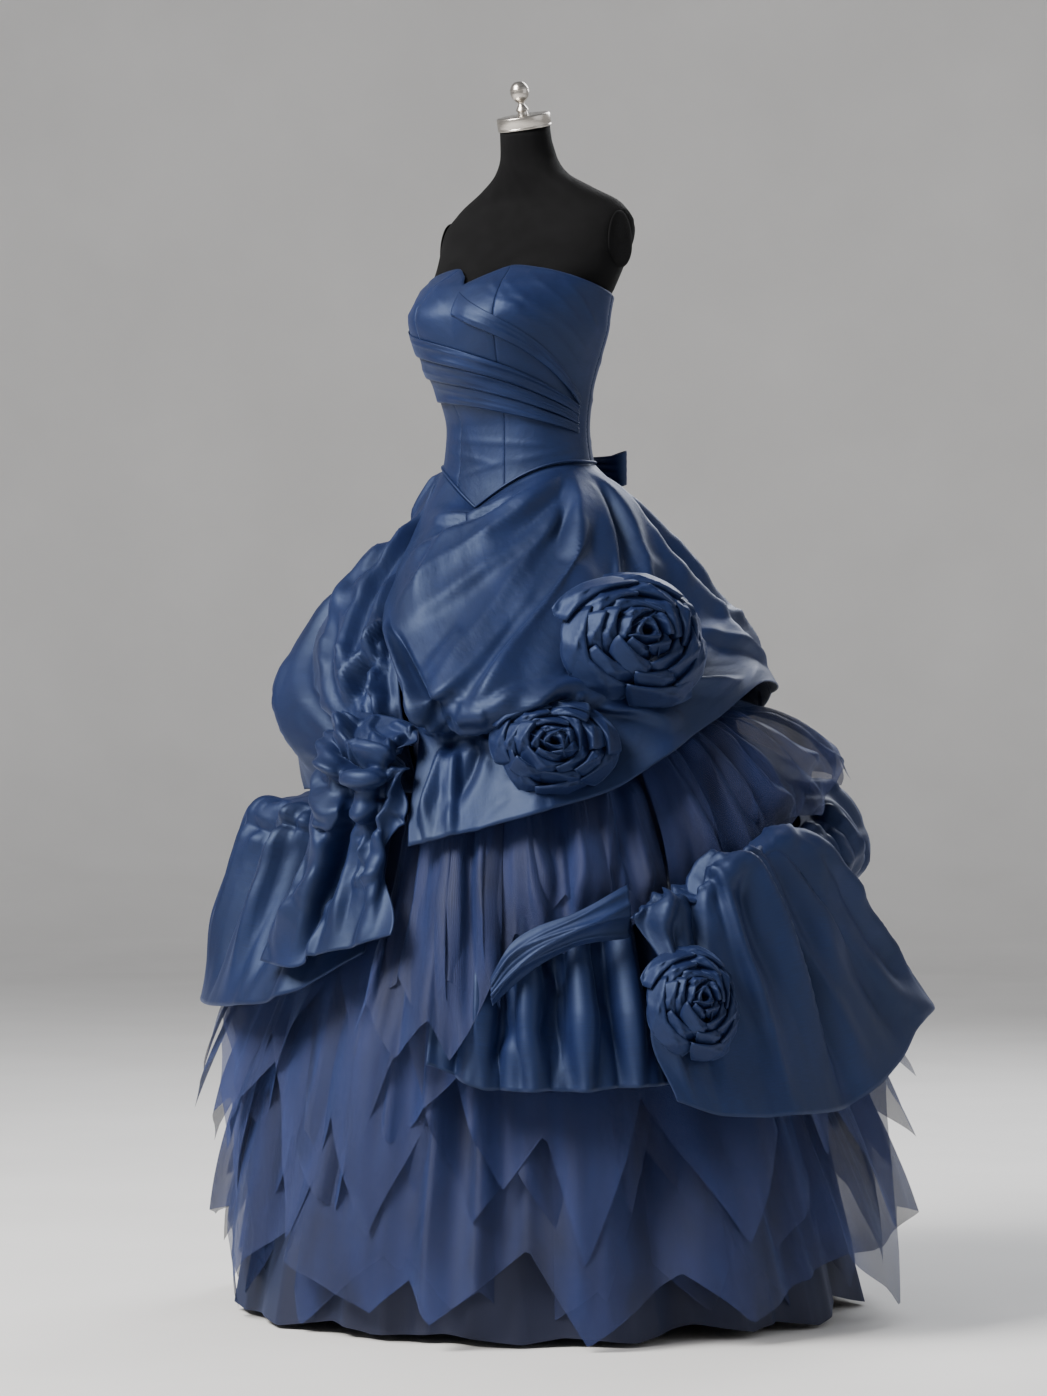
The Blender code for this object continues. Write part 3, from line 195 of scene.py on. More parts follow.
# Cloth panels hang from a top edge to their lower edge. Rows: azimuth in degrees at the top,
# half way down and at the lower edge, then pairs of radius and height in millimetres from the
# top down. A dash at the top starts at the basque seam, and a top radius of 0 lies on the
# petticoat. Folds, in thousandths: place across at the top and at the lower edge, where it
# starts and stops down the cloth, and its width across; then its depth in millimetres.
# A seam is a row that two panels share.
SEAMS = {
    "front_left": "132 132 132 - - 182 1066 243 985 290 922 318 875 333 836",
    "back_left": "132 132 132 - - 200 1043 275 945 316 880 333 836",
    "back_right": "210 210 210 - - 190 1025 286 935 330 830 306 712",
    "flounce_left": "131 131 131 0 602 368 546 458 468 520 402",
}
PANELS = {
    "overskirt_front": panel_of(
        """
        -60 2 14 - - 165 1035 268 925 335 842 336 772 410 640
        -36 12 20 - - 172 1030 282 918 362 832 344 768 414 650
        -12 22 30 - - 178 1026 292 912 378 830 352 772 412 668
        12 33 41 - - 182 1026 298 912 382 834 360 782 410 690
        36 45 52 - - 186 1026 300 915 372 844 362 794 402 713
        60 60 64 - - 188 1030 294 922 352 860 364 815 388 760
        84 78 77 - - 188 1040 280 936 330 878 352 842 372 800
        108 104 101 - - 185 1056 262 962 308 905 334 874 352 852
        front_left
        """, """
        800 -1000 30 440 55 17
        800 -280 30 720 45 19
        810 120 50 640 42 16
        820 440 50 500 35 11
        300 340 780 1200 50 12
        600 620 780 1200 50 12
        """
    ),
    "overskirt_right": panel_of(
        """
        back_right
        236 236 236 - - 192 1022 288 930 334 825 304 711
        262 262 264 - - 190 1022 288 930 336 822 303 710
        284 288 292 - - 184 1026 285 932 334 822 303 708
        294 306 318 - - 176 1030 276 936 328 828 303 707
        299 334 356 - - 160 1036 252 938 308 836 302 706
        299.2 352 368 - - 150 1036 240 936 296 836 300 706
        """, """
        120 170 300 980 50 -20
        380 360 350 980 50 -20
        620 580 400 980 40 -18
        800 760 450 980 40 -10
        """
    ),
    "overskirt_back": panel_of(
        """
        back_left
        150 150 150 - - 198 1036 284 940 330 868 336 806
        170 170 170 - - 196 1030 286 936 336 856 334 794
        190 190 190 - - 194 1027 287 935 334 846 322 764
        back_right
        """, """
        280 300 200 980 70 -18
        660 640 200 980 70 -18
        """
    ),
    "cascade": panel_of(
        """
        -11 -13 -16 308 812 344 755 386 620 442 486
        -4 -6 -9 322 810 374 752 392 630 446 480
        2 0 -2 324 806 386 744 386 645 444 500
        8 7 5 326 798 384 736 388 650 438 512
        10.5 10.5 10.5 326 790 368 738 386 650 436 528
        """, """
        280 400 100 620 100 13
        720 580 150 620 90 13
        500 380 600 1100 100 -12
        850 800 550 1100 80 10
        """
    ),
    "flounce_right": panel_of(
        """
        210 210 210 0 700 368 668 410 560 462 420
        240 240 240 0 700 368 668 410 560 470 400
        270 270 270 0 700 366 670 408 566 460 425
        300 300 300 0 700 366 676 405 580 460 424
        320 320 320 0 700 360 676 402 576 458 418
        342 342 342 0 700 330 668 364 576 440 430
        362 362 362 0 700 318 668 344 590 390 500
        """, """
        80 80 200 0 28 15
        220 220 200 0 28 15
        360 370 200 0 28 15
        500 510 200 0 28 15
        640 660 200 0 28 15
        780 800 200 0 28 13
        """
    ),
    "back_puff": panel_of(
        """
        94 94 95 376 638 412 638 440 608 414 568
        108 108 108 376 656 420 654 446 612 412 566
        122 122 122 340 712 410 688 444 622 408 556
        142 142 142 0 790 386 722 430 636 402 542
        165 165 165 0 785 384 718 428 634 400 540
        188 188 188 0 750 376 700 420 628 396 543
        210 210 210 0 705 364 676 404 622 388 552
        """, """
        100 110 100 980 35 -14
        260 270 100 980 40 -14
        480 480 100 980 45 -14
        700 700 100 980 45 -14
        880 880 100 980 35 -12
        """
    ),
    "flounce_back": panel_of(
        """
        flounce_left
        152 152 152 0 602 366 546 452 466 512 385
        180 180 180 0 602 364 546 448 464 506 380
        210 210 210 0 602 358 548 432 470 480 395
        """, """
        120 120 100 1200 40 15
        310 310 100 1200 40 15
        500 500 100 1200 40 15
        690 690 100 1200 40 15
        880 880 100 1200 40 15
        """
    ),
    "flounce_left": panel_of(
        """
        53 54 54 434 548 458 552 496 455 530 325
        61 61 62 438 560 467 568 502 460 540 304
        69 70 71 438 598 472 606 504 468 546 300
        78 80 82 438 628 474 632 506 478 550 302
        88 93 95 440 600 470 598 506 490 550 355
        102 106 108 438 540 462 536 500 490 546 418
        117 119 120 356 566 422 518 484 470 530 410
        flounce_left
        """, """
        100 50 20 500 40 10
        360 460 80 1100 45 -17
        300 700 100 1100 40 13
        280 280 50 450 35 10
        780 860 150 1100 45 13
        """
    ),
    "under_flounce": panel_of(
        """
        19 19 19 0 622 372 560 420 470 460 366
        30 30 30 0 622 385 560 436 460 476 334
        42 42 42 0 622 390 560 442 455 486 334
        54 54 54 0 622 392 560 446 455 490 340
        66 66 66 0 622 392 560 444 455 484 340
        74 74 74 0 622 388 560 438 455 476 345
        """, waves=(7, 0.017)
    ),
    "tulle_upper_front": panel_of(
        """
        10 8 4 0 770 322 700 362 560 436 420
        15 14 13 0 770 326 700 378 560 456 395
        22 22 23 0 770 338 700 414 560 484 396
        31 31 31 0 770 344 700 414 580 462 450
        """, waves=(4, 0.010)
    ),
    "tulle_upper_middle": panel_of(
        """
        31.2 31.2 31.2 0 770 344 700 404 610 440 500
        42 42 42 0 770 346 700 404 610 440 530
        52 52 52 0 770 346 700 400 610 422 548
        62 62 62 0 770 346 700 396 610 411 552
        """, waves=(4, 0.007)
    ),
    "tulle_upper_left": panel_of(
        """
        62.2 62.2 62.2 0 790 340 730 396 640 412 550
        76 76 76 0 812 348 760 402 655 414 575
        90 90 90 0 830 356 780 404 700 412 648
        106 106 106 0 832 362 796 412 745 424 708
        125 125 125 0 830 362 800 412 765 428 730
        """, waves=(6, 0.011)
    ),
}

# Strip of taffeta twisted across the front: azimuth, radius, height of its middle, height of the strip
SASH = [
    (51.8, 0.458, 0.560, 0.062),
    (47.0, 0.464, 0.548, 0.052),
    (42.0, 0.466, 0.534, 0.046),
    (37.0, 0.466, 0.516, 0.046),
    (33.0, 0.470, 0.492, 0.050),
    (30.0, 0.478, 0.460, 0.040),
]

# Roses: name, azimuth, height, half width, half height, depth, turns, lean back in degrees, panel below
ROSES = [
    ("rose_large", 60, 0.905, 0.102, 0.088, 0.052, 2.6, 14, "overskirt_front"),
    ("rose_middle", 41, 0.768, 0.080, 0.062, 0.046, 2.4, 10, "overskirt_front"),
    ("rose_lower", 59, 0.446, 0.062, 0.072, 0.044, 2.4, 14, "flounce_left"),
]

# Bow at the back of the waist
BOW_Z = 1.143
BOW_HEIGHT = 0.046
BOW_REACH = 0.104
BOW_DEPTH = 0.034
KNOT_SIZE = (0.022, 0.030, 0.034)

# Camera, light and colours
VIEW_AZIMUTH = 37.0
VIEW_DISTANCE = 6.0
VIEW_HEIGHT = 0.83
LENS = 4412 / 1396 * 36
SHIFT_X = 3.5 / 1396
LIGHTS = {
    # name: metres to the right, towards the camera and up, size, power, colour
    "key": (-2.7, 2.1, 3.7, 2.0, 440.0, (1.0, 0.98, 0.95)),
    "fill": (3.6, 1.6, 2.2, 3.0, 24.0, (0.93, 0.96, 1.0)),
    "back": (1.6, -3.0, 3.2, 2.0, 120.0, (0.95, 0.97, 1.0)),
}
# Floor and wall: radius and height, from the middle outwards
STAGE = (
    *((0.001, 0.0), (3.0, 0.0), (7.6, 0.0), (8.4, 0.06)),
    *((9.2, 0.30), (9.8, 0.85), (10.1, 1.7), (10.2, 5.5)),
)
WORLD_COLOUR = (0.80, 0.82, 0.86)
WORLD_STRENGTH = 0.30
AIM_HEIGHT = 0.85
# How many sheets of open net a line of sight may pass
TULLE_LAYERS_DEEP = 24
TAFFETA_DARK = (0.0014, 0.0036, 0.020)
TAFFETA_MID = (0.0029, 0.0071, 0.038)
TAFFETA_LIGHT = (0.0058, 0.0134, 0.066)
# Tones of one tulle: the darker tones on the inner layers and the petticoat base are painted shade, the
# lighter tones on the outer layers painted light; within each copy the tone varies at random.
TULLE_DEEP_SHADE = (0.0013, 0.0040, 0.024)
TULLE_DARK = (0.0022, 0.0060, 0.033)
TULLE_MID = (0.0044, 0.0116, 0.062)
TULLE_LIGHT = (0.0080, 0.0210, 0.108)
JERSEY_DARK = (0.0012, 0.0012, 0.0015)
JERSEY_LIGHT = (0.0028, 0.0028, 0.0033)

CREST_ROUND = 0.0022
CREASE_SHARPEN = 0.84
CREASE_RAISE = 1.75
CREASE_FOOT = 2.5
CREASE_LIMITS = (-0.014, 0.032)

# Looks of the taffeta panels. Each crease: its line of places across and down, width,
# height (a valley where negative) and lean. Each scatter of small creases: count, size in
# centimetres, height in tenths of a millimetre, direction about the fall and spread in
# degrees, then where it lies across and down, in hundredths.
LOOKS = {
    "overskirt_front": {
        "grid": (180, 108),
        "seams": ("top", "end"),
        "creases": creases_of("""
            70 0  42 16  20 28  3 38   13 11 4
            71 0  60 22  38 48  15 74   16 13 -4
            69 3  50 22  30 42  8 62   10 6 5
            66 2  38 12  16 22  2 29   9 6 -3
            73 0  68 26  58 42  44 58   10 9 4
            75 0  76 22  74 36   10 8 -4
            77 0  82 24  86 48  90 80   12 10 4
            79 2  90 30  96 62   10 7 -3
            55 3  30 8  10 14   8 5 4
            40 4  24 20  14 36   8 4 -4
            2 36  5 52  10 66  15 78   10 12 5
            6 40  11 56  16 72   9 -7 0
            8 80  20 76  34 70  50 64   10 -14 3
            14 72  26 70  40 63  54 57   12 13 -4
            16 66  28 64  40 58   8 6 4
            20 76  30 82  36 90   10 6 3
            13 80  9 88  4 98   12 8 -4
            16 80  16 90  15 102   10 6 4
            24 78  20 88  12 97   8 -5 0
            52 70  60 80  66 94   10 7 -4
            62 62  74 74  82 90   10 8 4
            78 44  86 62  92 86   9 7 -4
            84 40  93 56  97 80   8 6 3
            """),
        "crumples": numbers("""
            12 26 26 -52 7 10 60 8 56
            22 8 34 -66 22 5 55 62 80
            18 12 28 14 14 62 98 20 95
            9 10 20 -20 30 2 40 84 100
            """, 1, 100, 10000, 1, 1, 100),
    },
    "overskirt_right": {
        "grid": (150, 84),
        "seams": ("top", "start"),
        "creases": creases_of("""
            90 10  86 34  84 62  90 92   13 11 4
            98 30  93 50  93 72  97 96   11 10 -4
            80 16  77 42  79 70  86 98   12 9 4
            70 30  70 56  76 80  84 100   10 -10 0
            66 20  64 50  67 78  72 100   13 10 -4
            99 52  92 62  82 74   10 10 4
            98 62  90 70  80 86   9 -10 0
            56 30  55 60  58 98   12 9 4
            47 10  46 50  44 80  47 100   13 -11 0
            38 20  35 56  38 98   12 10 -4
            27 8  27 46  24 98   12 10 4
            16 20  18 58  14 100   12 -10 0
            8 10  7 54  9 98   10 8 -4
            """),
        "crumples": numbers("""
            40 12 36 0 20 5 98 35 98
            26 16 30 0 14 5 98 5 50
            34 6 36 30 45 72 100 60 98
            """, 1, 100, 10000, 1, 1, 100),
    },
    "overskirt_back": {
        "grid": (90, 72),
        "seams": ("top", "start", "end"),
        "creases": creases_of("""
            44 0  30 34  22 66  28 96   13 11 4
            50 0  48 36  42 70  46 98   12 -10 0
            55 0  66 34  74 66  68 96   13 11 -4
            40 2  16 40  10 86   10 7 -3
            60 2  84 40  90 86   10 7 3
            52 4  57 44  55 86   9 7 3
            """),
        "crumples": numbers("""
            26 12 30 0 22 5 95 10 95
            20 7 34 0 45 10 90 60 98
            """, 1, 100, 10000, 1, 1, 100),
    },
    "cascade": {
        "grid": (84, 110),
        "seams": ("top",),
        "edges": (("end", 2.3, 2.6, 0.020), ("start", 1.8, 2.0, 0.014)),
        "creases": creases_of("""
            10 6  24 20  50 28  90 24   10 14 4
            4 20  26 34  56 42  96 34   9 13 -4
            8 14  30 27  60 34  92 29   7 -10 0
            0 34  22 48  52 54  90 46   9 11 4
            85 4  74 30  66 60  70 98   10 10 4
            96 10  90 40  84 70  90 100   9 9 -4
            60 44  46 64  40 98   10 -10 0
            44 48  30 70  24 100   12 11 4
            22 50  10 72  6 98   9 8 -4
            62 56  56 76  58 100   9 8 4
            """),
        "crumples": numbers("""
            44 6 42 60 30 2 98 5 60
            30 8 34 10 30 2 98 50 98
            """, 1, 100, 10000, 1, 1, 100),
    },
    "flounce_right": {
        "grid": (160, 76),
        "seams": ("top", "start"),
        "creases": creases_of("""
            98.5 16  95 50  93 100   10 10 4
            90 20  87 56  86 102   12 12 -4
            82 18  80 60  79 102   10 -9 0
            76 18  75 56  74 102   13 13 3
            70 22  68 62  67 102   10 -10 0
            63 18  63 58  62 102   14 13 -4
            52 20  53 60  52 102   13 12 4
            43 20  42 62  44 102   11 -10 0
            35 18  36 60  35 102   14 13 -3
            24 20  23 60  25 102   12 12 4
            15 20  14 60  15 102   10 -9 0
            7 20  8 60  7 102   12 11 -4
            92 30  84 38  72 36   8 8 4
            80 34  70 44  60 42   8 -7 0
            """),
        "crumples": numbers("""
            40 9 36 0 24 2 99 16 45
            22 20 26 0 8 2 99 50 100
            """, 1, 100, 10000, 1, 1, 100),
    },
    "back_puff": {
        "grid": (130, 64),
        "seams": ("top",),
        "creases": creases_of("""
            6 10  10 50  6 98   10 10 4
            16 8  14 52  18 98   10 -9 0
            24 10  22 50  26 98   12 11 -4
            36 8  38 54  34 98   11 10 4
            47 10  46 50  48 98   10 -10 0
            56 8  58 52  54 98   12 11 4
            68 10  66 50  70 98   10 -9 0
            78 8  80 52  76 98   12 11 -4
            90 10  88 52  91 98   10 9 4
            """),
        "crumples": numbers("""
            60 7 38 0 32 2 98 15 98
            24 12 30 0 14 2 98 10 80
            """, 1, 100, 10000, 1, 1, 100),
    },
    "flounce_back": {
        "grid": (110, 60),
        "seams": ("top", "start"),
        "creases": creases_of("""
            12 16  12 60  11 102   12 12 4
            22 20  21 60  22 102   10 -9 0
            31 16  31 60  32 102   13 12 -4
            50 16  50 60  49 102   13 12 4
            60 20  60 60  61 102   10 -9 0
            69 16  69 60  70 102   13 12 -4
            88 16  88 60  87 102   12 12 4
            """),
        "crumples": numbers("""
            30 8 32 0 28 3 98 20 60
            20 14 26 0 10 3 98 55 100
            """, 1, 100, 10000, 1, 1, 100),
    },
    "flounce_left": {
        "grid": (156, 90),
        "seams": ("end",),
        "edges": (("start", 2.2, 1.3, 0.014),),
        "creases": creases_of("""
            2 6  12 3  26 7  38 5   10 12 4
            6 20  16 12  28 15  40 10   9 11 -4
            4 13  16 7.5  30 11   7 -9 0
            26 4  30 24  38 60  44 102   12 13 4
            30 6  42 28  54 62  60 100   13 -12 0
            36 4  50 22  64 56  72 102   15 14 -3
            42 2  60 14  76 36  88 80   12 10 4
            20 6  17 30  14 60  12 100   10 -9 0
            14 10  8 36  5 70  4 102   12 10 4
            24 10  25 40  28 72  30 102   10 8 -4
            52 4  62 6  74 12   9 9 4
            66 10  76 30  80 62  80 100   10 -9 0
            80 10  86 36  92 70  93 102   12 10 -4
            34 10  37 30  46 70  51 102   9 6 3
            """),
        "crumples": numbers("""
            50 6 44 40 40 2 52 2 28
            24 12 34 14 16 10 75 15 55
            18 20 24 8 8 3 96 50 100
            24 8 36 0 30 60 96 5 50
            """, 1, 100, 10000, 1, 1, 100),
    },
    "under_flounce": {
        "grid": (120, 72),
        "seams": ("top",),
        "waves": 0.55,
        "creases": creases_of("""
            5 10  3 50  2 102   10 9 4
            16 10  15 55  13 102   11 10 -4
            30 10  29 55  28 102   10 10 4
            37 20  36 60  36 102   9 -10 0
            44 10  43 55  43 102   12 11 -3
            58 10  57 55  57 102   11 11 4
            65 20  64 60  64 102   9 -10 0
            72 10  72 55  71 102   13 12 -4
            86 10  86 55  86 102   11 11 4
            """),
        "crumples": numbers("""
            30 10 28 0 12 2 98 20 100
            """, 1, 100, 10000, 1, 1, 100),
    },
}
# Upper tulle flounces: columns, rows, layers, and their longer folds
TULLE_LOOKS = {
    "tulle_upper_front": (84, 64, 2, creases_of("""
        10 30  12 70  8 102   12 10 3
        34 20  38 60  34 102   10 8 -3
        62 20  66 60  70 102   12 12 3
        84 20  86 60  92 102   10 10 -3
        """)),
    "tulle_upper_middle": (84, 56, 2, creases_of("""
        10 20  16 60  24 102   12 10 3
        44 16  44 60  40 102   12 12 -3
        70 20  62 60  56 102   10 10 3
        88 20  84 60  86 102   10 8 -3
        """)),
    "tulle_upper_left": (120, 56, 2, creases_of("""
        6 16  14 60  20 102   12 10 3
        16 14  28 56  36 102   12 12 -3
        26 12  42 50  54 102   12 12 3
        40 12  58 54  70 102   10 10 -3
        60 14  76 56  86 102   10 10 3
        """)),
}
# Scatter of small creases on a layer of upper tulle, as above but in metres and shares
TULLE_CRUMPLES = (7, 0.30, 0.0024, 0, 9, 0, 1, 0, 1)
# Zigzag hems of the first and second layers, as shares of their height
HEM_POINTS = ((0, 1, 0, 1, 0, 1, 0.2), (0.5, 0, 1, 0.1, 1, 0, 0.6))
RING_GRID = (420, 28)
# Layers of the tulle rings: ring, cloth, seed, petals, heights of tips and of notches,
# how far out the layer hangs, how far its long points stop above the ring's own
RING_LAYERS = {
    # A layer's cloth sets its tone: the darker copies on the inner layers are painted shade, the lighter tulle
    # on the outer layers painted light.
    "petticoat": ("petticoat", "tulle_dense_shaded", 1, 16, (0.004, 0.008), (0.010, 0.026), 0.000, 0.0),
    "petticoat_upper": ("petticoat", "tulle_shaded", 2, 15, (0.008, 0.05), (0.06, 0.17), 0.006, 0.02),
    "tulle_low": ("tulle_low", "tulle_shaded", 3, 14, (0.004, 0.06), (0.05, 0.17), -0.006, 0.0),
    "tulle_low_second": ("tulle_low", "tulle_shaded", 5, 11, (0.05, 0.13), (0.24, 0.34), 0.004, 0.05),
    "tulle_low_third": ("tulle_low", "tulle", 9, 10, (0.11, 0.21), (0.31, 0.41), 0.016, 0.10),
    "tulle_mid": ("tulle_mid", "tulle_shaded", 4, 10, (0.15, 0.24), (0.34, 0.43), -0.006, 0.0),
    "tulle_mid_second": ("tulle_mid", "tulle", 8, 9, (0.23, 0.33), (0.41, 0.49), 0.006, 0.05),
}
RING_DEPTH = 1.05
# Folds of a ring's layer: how many go round it, and their share of its wave
RING_FOLDS = ((7, 0.34), (19, 0.50), (43, 0.30))
# Long points of the rings as they hang: ring, azimuth, half width in degrees, radius and height of the tip
LONG_POINTS = [
    ("tulle_mid", -54, 22, 0.500, 0.268),
    ("tulle_mid", -78, 18, 0.470, 0.215),
    ("tulle_mid", 114, 23, 0.545, 0.322),
    ("tulle_mid", 88, 14, 0.500, 0.230),
    ("tulle_low", 126, 15, 0.520, 0.130),
    ("tulle_low", 108, 19, 0.505, 0.020),
    ("tulle_low", -54, 15, 0.455, 0.120),
    ("tulle_low", -34, 14, 0.430, 0.010),
    ("tulle_low", 45, 17, 0.460, 0.006),
    ("tulle_low", 72, 14, 0.480, 0.030),
    ("tulle_low", 8, 14, 0.445, 0.040),
]
# How much further the low ring's layers flare at the floor
LOW_FLARE = 0.030

# Wrinkles of the bodice: azimuth and height (mm) at both ends, sag (mm), then width and
# height in tenths of a millimetre
BODICE_CREASES = numbers("""
    -58 1166 22 1140 3 30 10
    -34 1126 30 1150 -2 26 9
    -62 1186 84 1168 -4 30 11
    26 1146 88 1172 -3 28 10
    -66 1148 -16 1122 -2 30 10
    30 1122 86 1158 -3 30 10
    24 1368 42 1356 1 22 12
    22 1358 40 1344 1 20 12
    26 1348 44 1330 1 22 12
    8 1378 84 1262 10 40 12
    16 1384 86 1286 8 45 12
    14 1394 40 1345 -6 50 18
    20 1398 60 1330 -6 60 18
    34 1402 76 1322 4 50 14
    56 1392 88 1318 4 55 13
    -30 1402 -4 1352 -4 50 16
    -56 1396 -14 1345 -6 60 16
    -74 1372 -30 1344 -4 50 14
    -84 1330 -58 1270 4 50 14
    -88 1280 -60 1230 4 50 14
    84 1300 150 1240 4 60 12
    88 1240 160 1200 4 60 12
    -170 1240 -96 1300 4 60 12
    -160 1200 -92 1230 4 60 12
    100 1180 170 1165 -4 50 12
    -170 1165 -100 1180 -4 50 12
    """, 1, 1000, 1, 1000, 1000, 10000)
PLEAT_ROLL = 0.0048
SASH_FOLDS = [
    (-0.30, 0.30, 0.0050),
    (-0.08, -0.45, 0.0060),
    (0.12, 0.40, 0.0050),
    (0.30, -0.20, 0.0040),
]

# Rings of folded flaps in a rose, from the middle out: flaps, then shares of its radius and
# depth: rim radius, rim height, spread outside the rim, drop outside the rim
ROSE_RINGS = [
    (3, 0.10, 1.00, 0.14, 0.30),
    (5, 0.25, 0.97, 0.18, 0.34),
    (5, 0.43, 0.88, 0.24, 0.36),
    (7, 0.61, 0.72, 0.24, 0.42),
    (7, 0.80, 0.52, 0.24, 0.58),
]

# Profiles of the turned metal: pairs of radius and height, from the top down
NECK_CAP = profile_of("""
    0 185   330 185   350 183   362 176   367 166   368 150   368 40   364 36
    364 30   368 26   368 10   364 3   358 0   0 0
    """)
FINIAL = profile_of("""
    0 455   52 446   98 410   122 362   124 356   129 352   129 340   126 336
    128 300   112 240   75 190   42 165   40 150   78 85   86 62   64 42
    72 0   0 0
    """)
STAND_BASE = profile_of("""
    0 140   1640 140   1665 134   1690 118   1700 96   1700 10   1694 0   0 0
    """)
STAND_POLE = profile_of("""
    0 9046   125 9046   125 9040   125 450   200 440   210 425   210 160   205 144
    0 144
    """)

# Curves through tables, for whole arrays of places at once


def through(xs, ys, x):
    """Smooth curve through the points that never overshoots them, flat beyond its ends."""
    xs, ys = np.asarray(xs, float), np.asarray(ys, float)
    x = np.clip(np.asarray(x, float), xs[0], xs[-1])
    h = np.diff(xs)
    steps = np.diff(ys) / h
    a, b = steps[:-1], steps[1:]
    same = a * b > 0
    inner = np.where(same, 2 * a * b / np.where(same, a + b, 1.0), 0.0)
    m = np.concatenate([[steps[0]], inner, [steps[-1]]])
    i = np.clip(np.searchsorted(xs, x, side="right") - 1, 0, len(xs) - 2)
    t = (x - xs[i]) / h[i]
    return (
        (1 + 2 * t) * (1 - t) ** 2 * ys[i]
        + t * (1 - t) ** 2 * h[i] * m[i]
        + t * t * (3 - 2 * t) * ys[i + 1]
        + t * t * (t - 1) * h[i] * m[i + 1]
    )


def table_value(table, column, x):
    rows = sorted(table)
    return through([r[0] for r in rows], [r[column] for r in rows], x)


def smoothstep(t):
    t = np.clip(t, 0.0, 1.0)
    return t * t * (3 - 2 * t)


def spline(values, v):
    """Grid over v (rows) and the values' own columns: smooth curves evenly spaced from v 0 to 1."""
    values = np.array([np.broadcast_to(x, np.shape(values[-1])) for x in values], float)
    last = len(values) - 1
    t = np.clip(v, 0, 1) * last
    i = np.minimum(t.astype(int), last - 1)
    f = (t - i)[:, None]
    a, b = values[i], values[i + 1]
    before = np.where((i > 0)[:, None], values[np.maximum(i - 1, 0)], 2 * a - b)
    after = np.where((i < last - 1)[:, None], values[np.minimum(i + 2, last)], 2 * b - a)
    return 0.5 * (
        2 * a
        + (b - before) * f
        + (2 * before - 5 * a + 4 * b - after) * f * f
        + (3 * a - before - 3 * b + after) * f**3
    )


def direction(azimuth):
    a = np.radians(azimuth)
    return np.stack([np.sin(a), -np.cos(a), np.zeros_like(a)], axis=-1)


def off_front(azimuth):
    return np.abs((np.asarray(azimuth, float) + 180) % 360 - 180)


# Shape of the form and of the bodice on it


def form_radius(azimuth, z):
    a = np.radians(azimuth)
    half_width = table_value(FORM_SECTIONS, 2, z)
    depth = np.where(
        np.cos(a) > 0, table_value(FORM_SECTIONS, 3, z), table_value(FORM_SECTIONS, 4, z)
    )
    oval = 1 / np.hypot(np.sin(a) / half_width, np.cos(a) / depth)
    side = off_front(azimuth)
    height = np.exp(-(((z - 1.335) / 0.045) ** 2))
    cups = 0.045 * np.exp(-(((side - 30) / 18) ** 2)) - 0.05 * np.exp(-((side / 11) ** 2))
    return oval * (1 + height * cups)


def form_point(azimuth, z, out=0.0):
    azimuth, z = np.broadcast_arrays(np.asarray(azimuth, float), np.asarray(z, float))
    centre = np.stack([np.zeros_like(z), table_value(FORM_SECTIONS, 1, z), z], axis=-1)
    return centre + direction(azimuth) * (form_radius(azimuth, z) + out)[..., None]


def seam_z(azimuth):
    share = np.minimum(off_front(azimuth), BASQUE_SIDE_DEG) / BASQUE_SIDE_DEG
    return BASQUE_POINT_Z + BASQUE_SIDE_RISE * np.sin(share * math.pi / 2)


def neckline_z(azimuth):
    return table_value(NECKLINE, 1, off_front(azimuth))


def skirt_centre(z):
    z = np.asarray(z, float)
    back = 0.003 + TRAIN * np.maximum(0.0, 1 - z / WAIST_SEAM_Z)
    return np.stack([np.zeros_like(z), back, z], axis=-1)


def skirt_point(azimuth, radius, z):
    azimuth, radius, z = np.broadcast_arrays(azimuth, radius, z)
    return skirt_centre(z) + direction(azimuth) * radius[..., None]


def seam_radius(azimuth, z):
    return np.linalg.norm(form_point(azimuth, z, BODY_CLEARANCE) - skirt_centre(z), axis=-1)


def petticoat_radius(z):
    rows = sorted(PETTICOAT_RADII)
    return np.interp(z, [r[0] for r in rows], [r[1] for r in rows])


# Cloth as grids of points


def shown_name(name):
    return f"{name}_shown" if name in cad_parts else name


def piece(name, mesh, material, nodes=()):
    """Adds a piece that rides on the one body and stands for its nodes."""
    obj = bpy.data.objects.new(shown_name(name), mesh)
    bpy.context.scene.collection.objects.link(obj)
    mesh.materials.append(MATERIALS[material])
    for polygon in mesh.polygons:
        polygon.use_smooth = True
    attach(obj, "root")
    if nodes:
        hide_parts(*nodes)
    return obj


def lengths(points, axis):
    """Lengths of the grid's lines along an axis."""
    return np.linalg.norm(np.diff(points, axis=axis), axis=-1).sum(axis=axis)


def grid_mesh(name, points, closed=False):
    """Mesh of a grid of points with its UVs in metres of cloth; rows go down, columns go round."""
    rows, columns = points.shape[:2]
    last = columns if closed else columns - 1
    i, j = np.meshgrid(np.arange(rows - 1), np.arange(last), indexing="ij")
    k = (j + 1) % columns
    faces = np.stack([i * columns + j, (i + 1) * columns + j, (i + 1) * columns + k, i * columns + k], -1)
    mesh = bpy.data.meshes.new(name)
    mesh.from_pydata(points.reshape(-1, 3).tolist(), [], faces.reshape(-1, 4).tolist())
    wide, long = float(lengths(points, 1).mean()), float(lengths(points, 0).mean())
    uv = mesh.uv_layers.new(name="cloth")
    across, down = wide / max(columns - 1, 1), long / (rows - 1)
    corners = np.stack(
        [
            np.stack([j * across, -i * down], -1),
            np.stack([j * across, -(i + 1) * down], -1),
            np.stack([(j + 1) * across, -(i + 1) * down], -1),
            np.stack([(j + 1) * across, -i * down], -1),
        ],
        axis=2,
    )
    uv.data.foreach_set("uv", corners.reshape(-1).astype(np.float32))
    return mesh


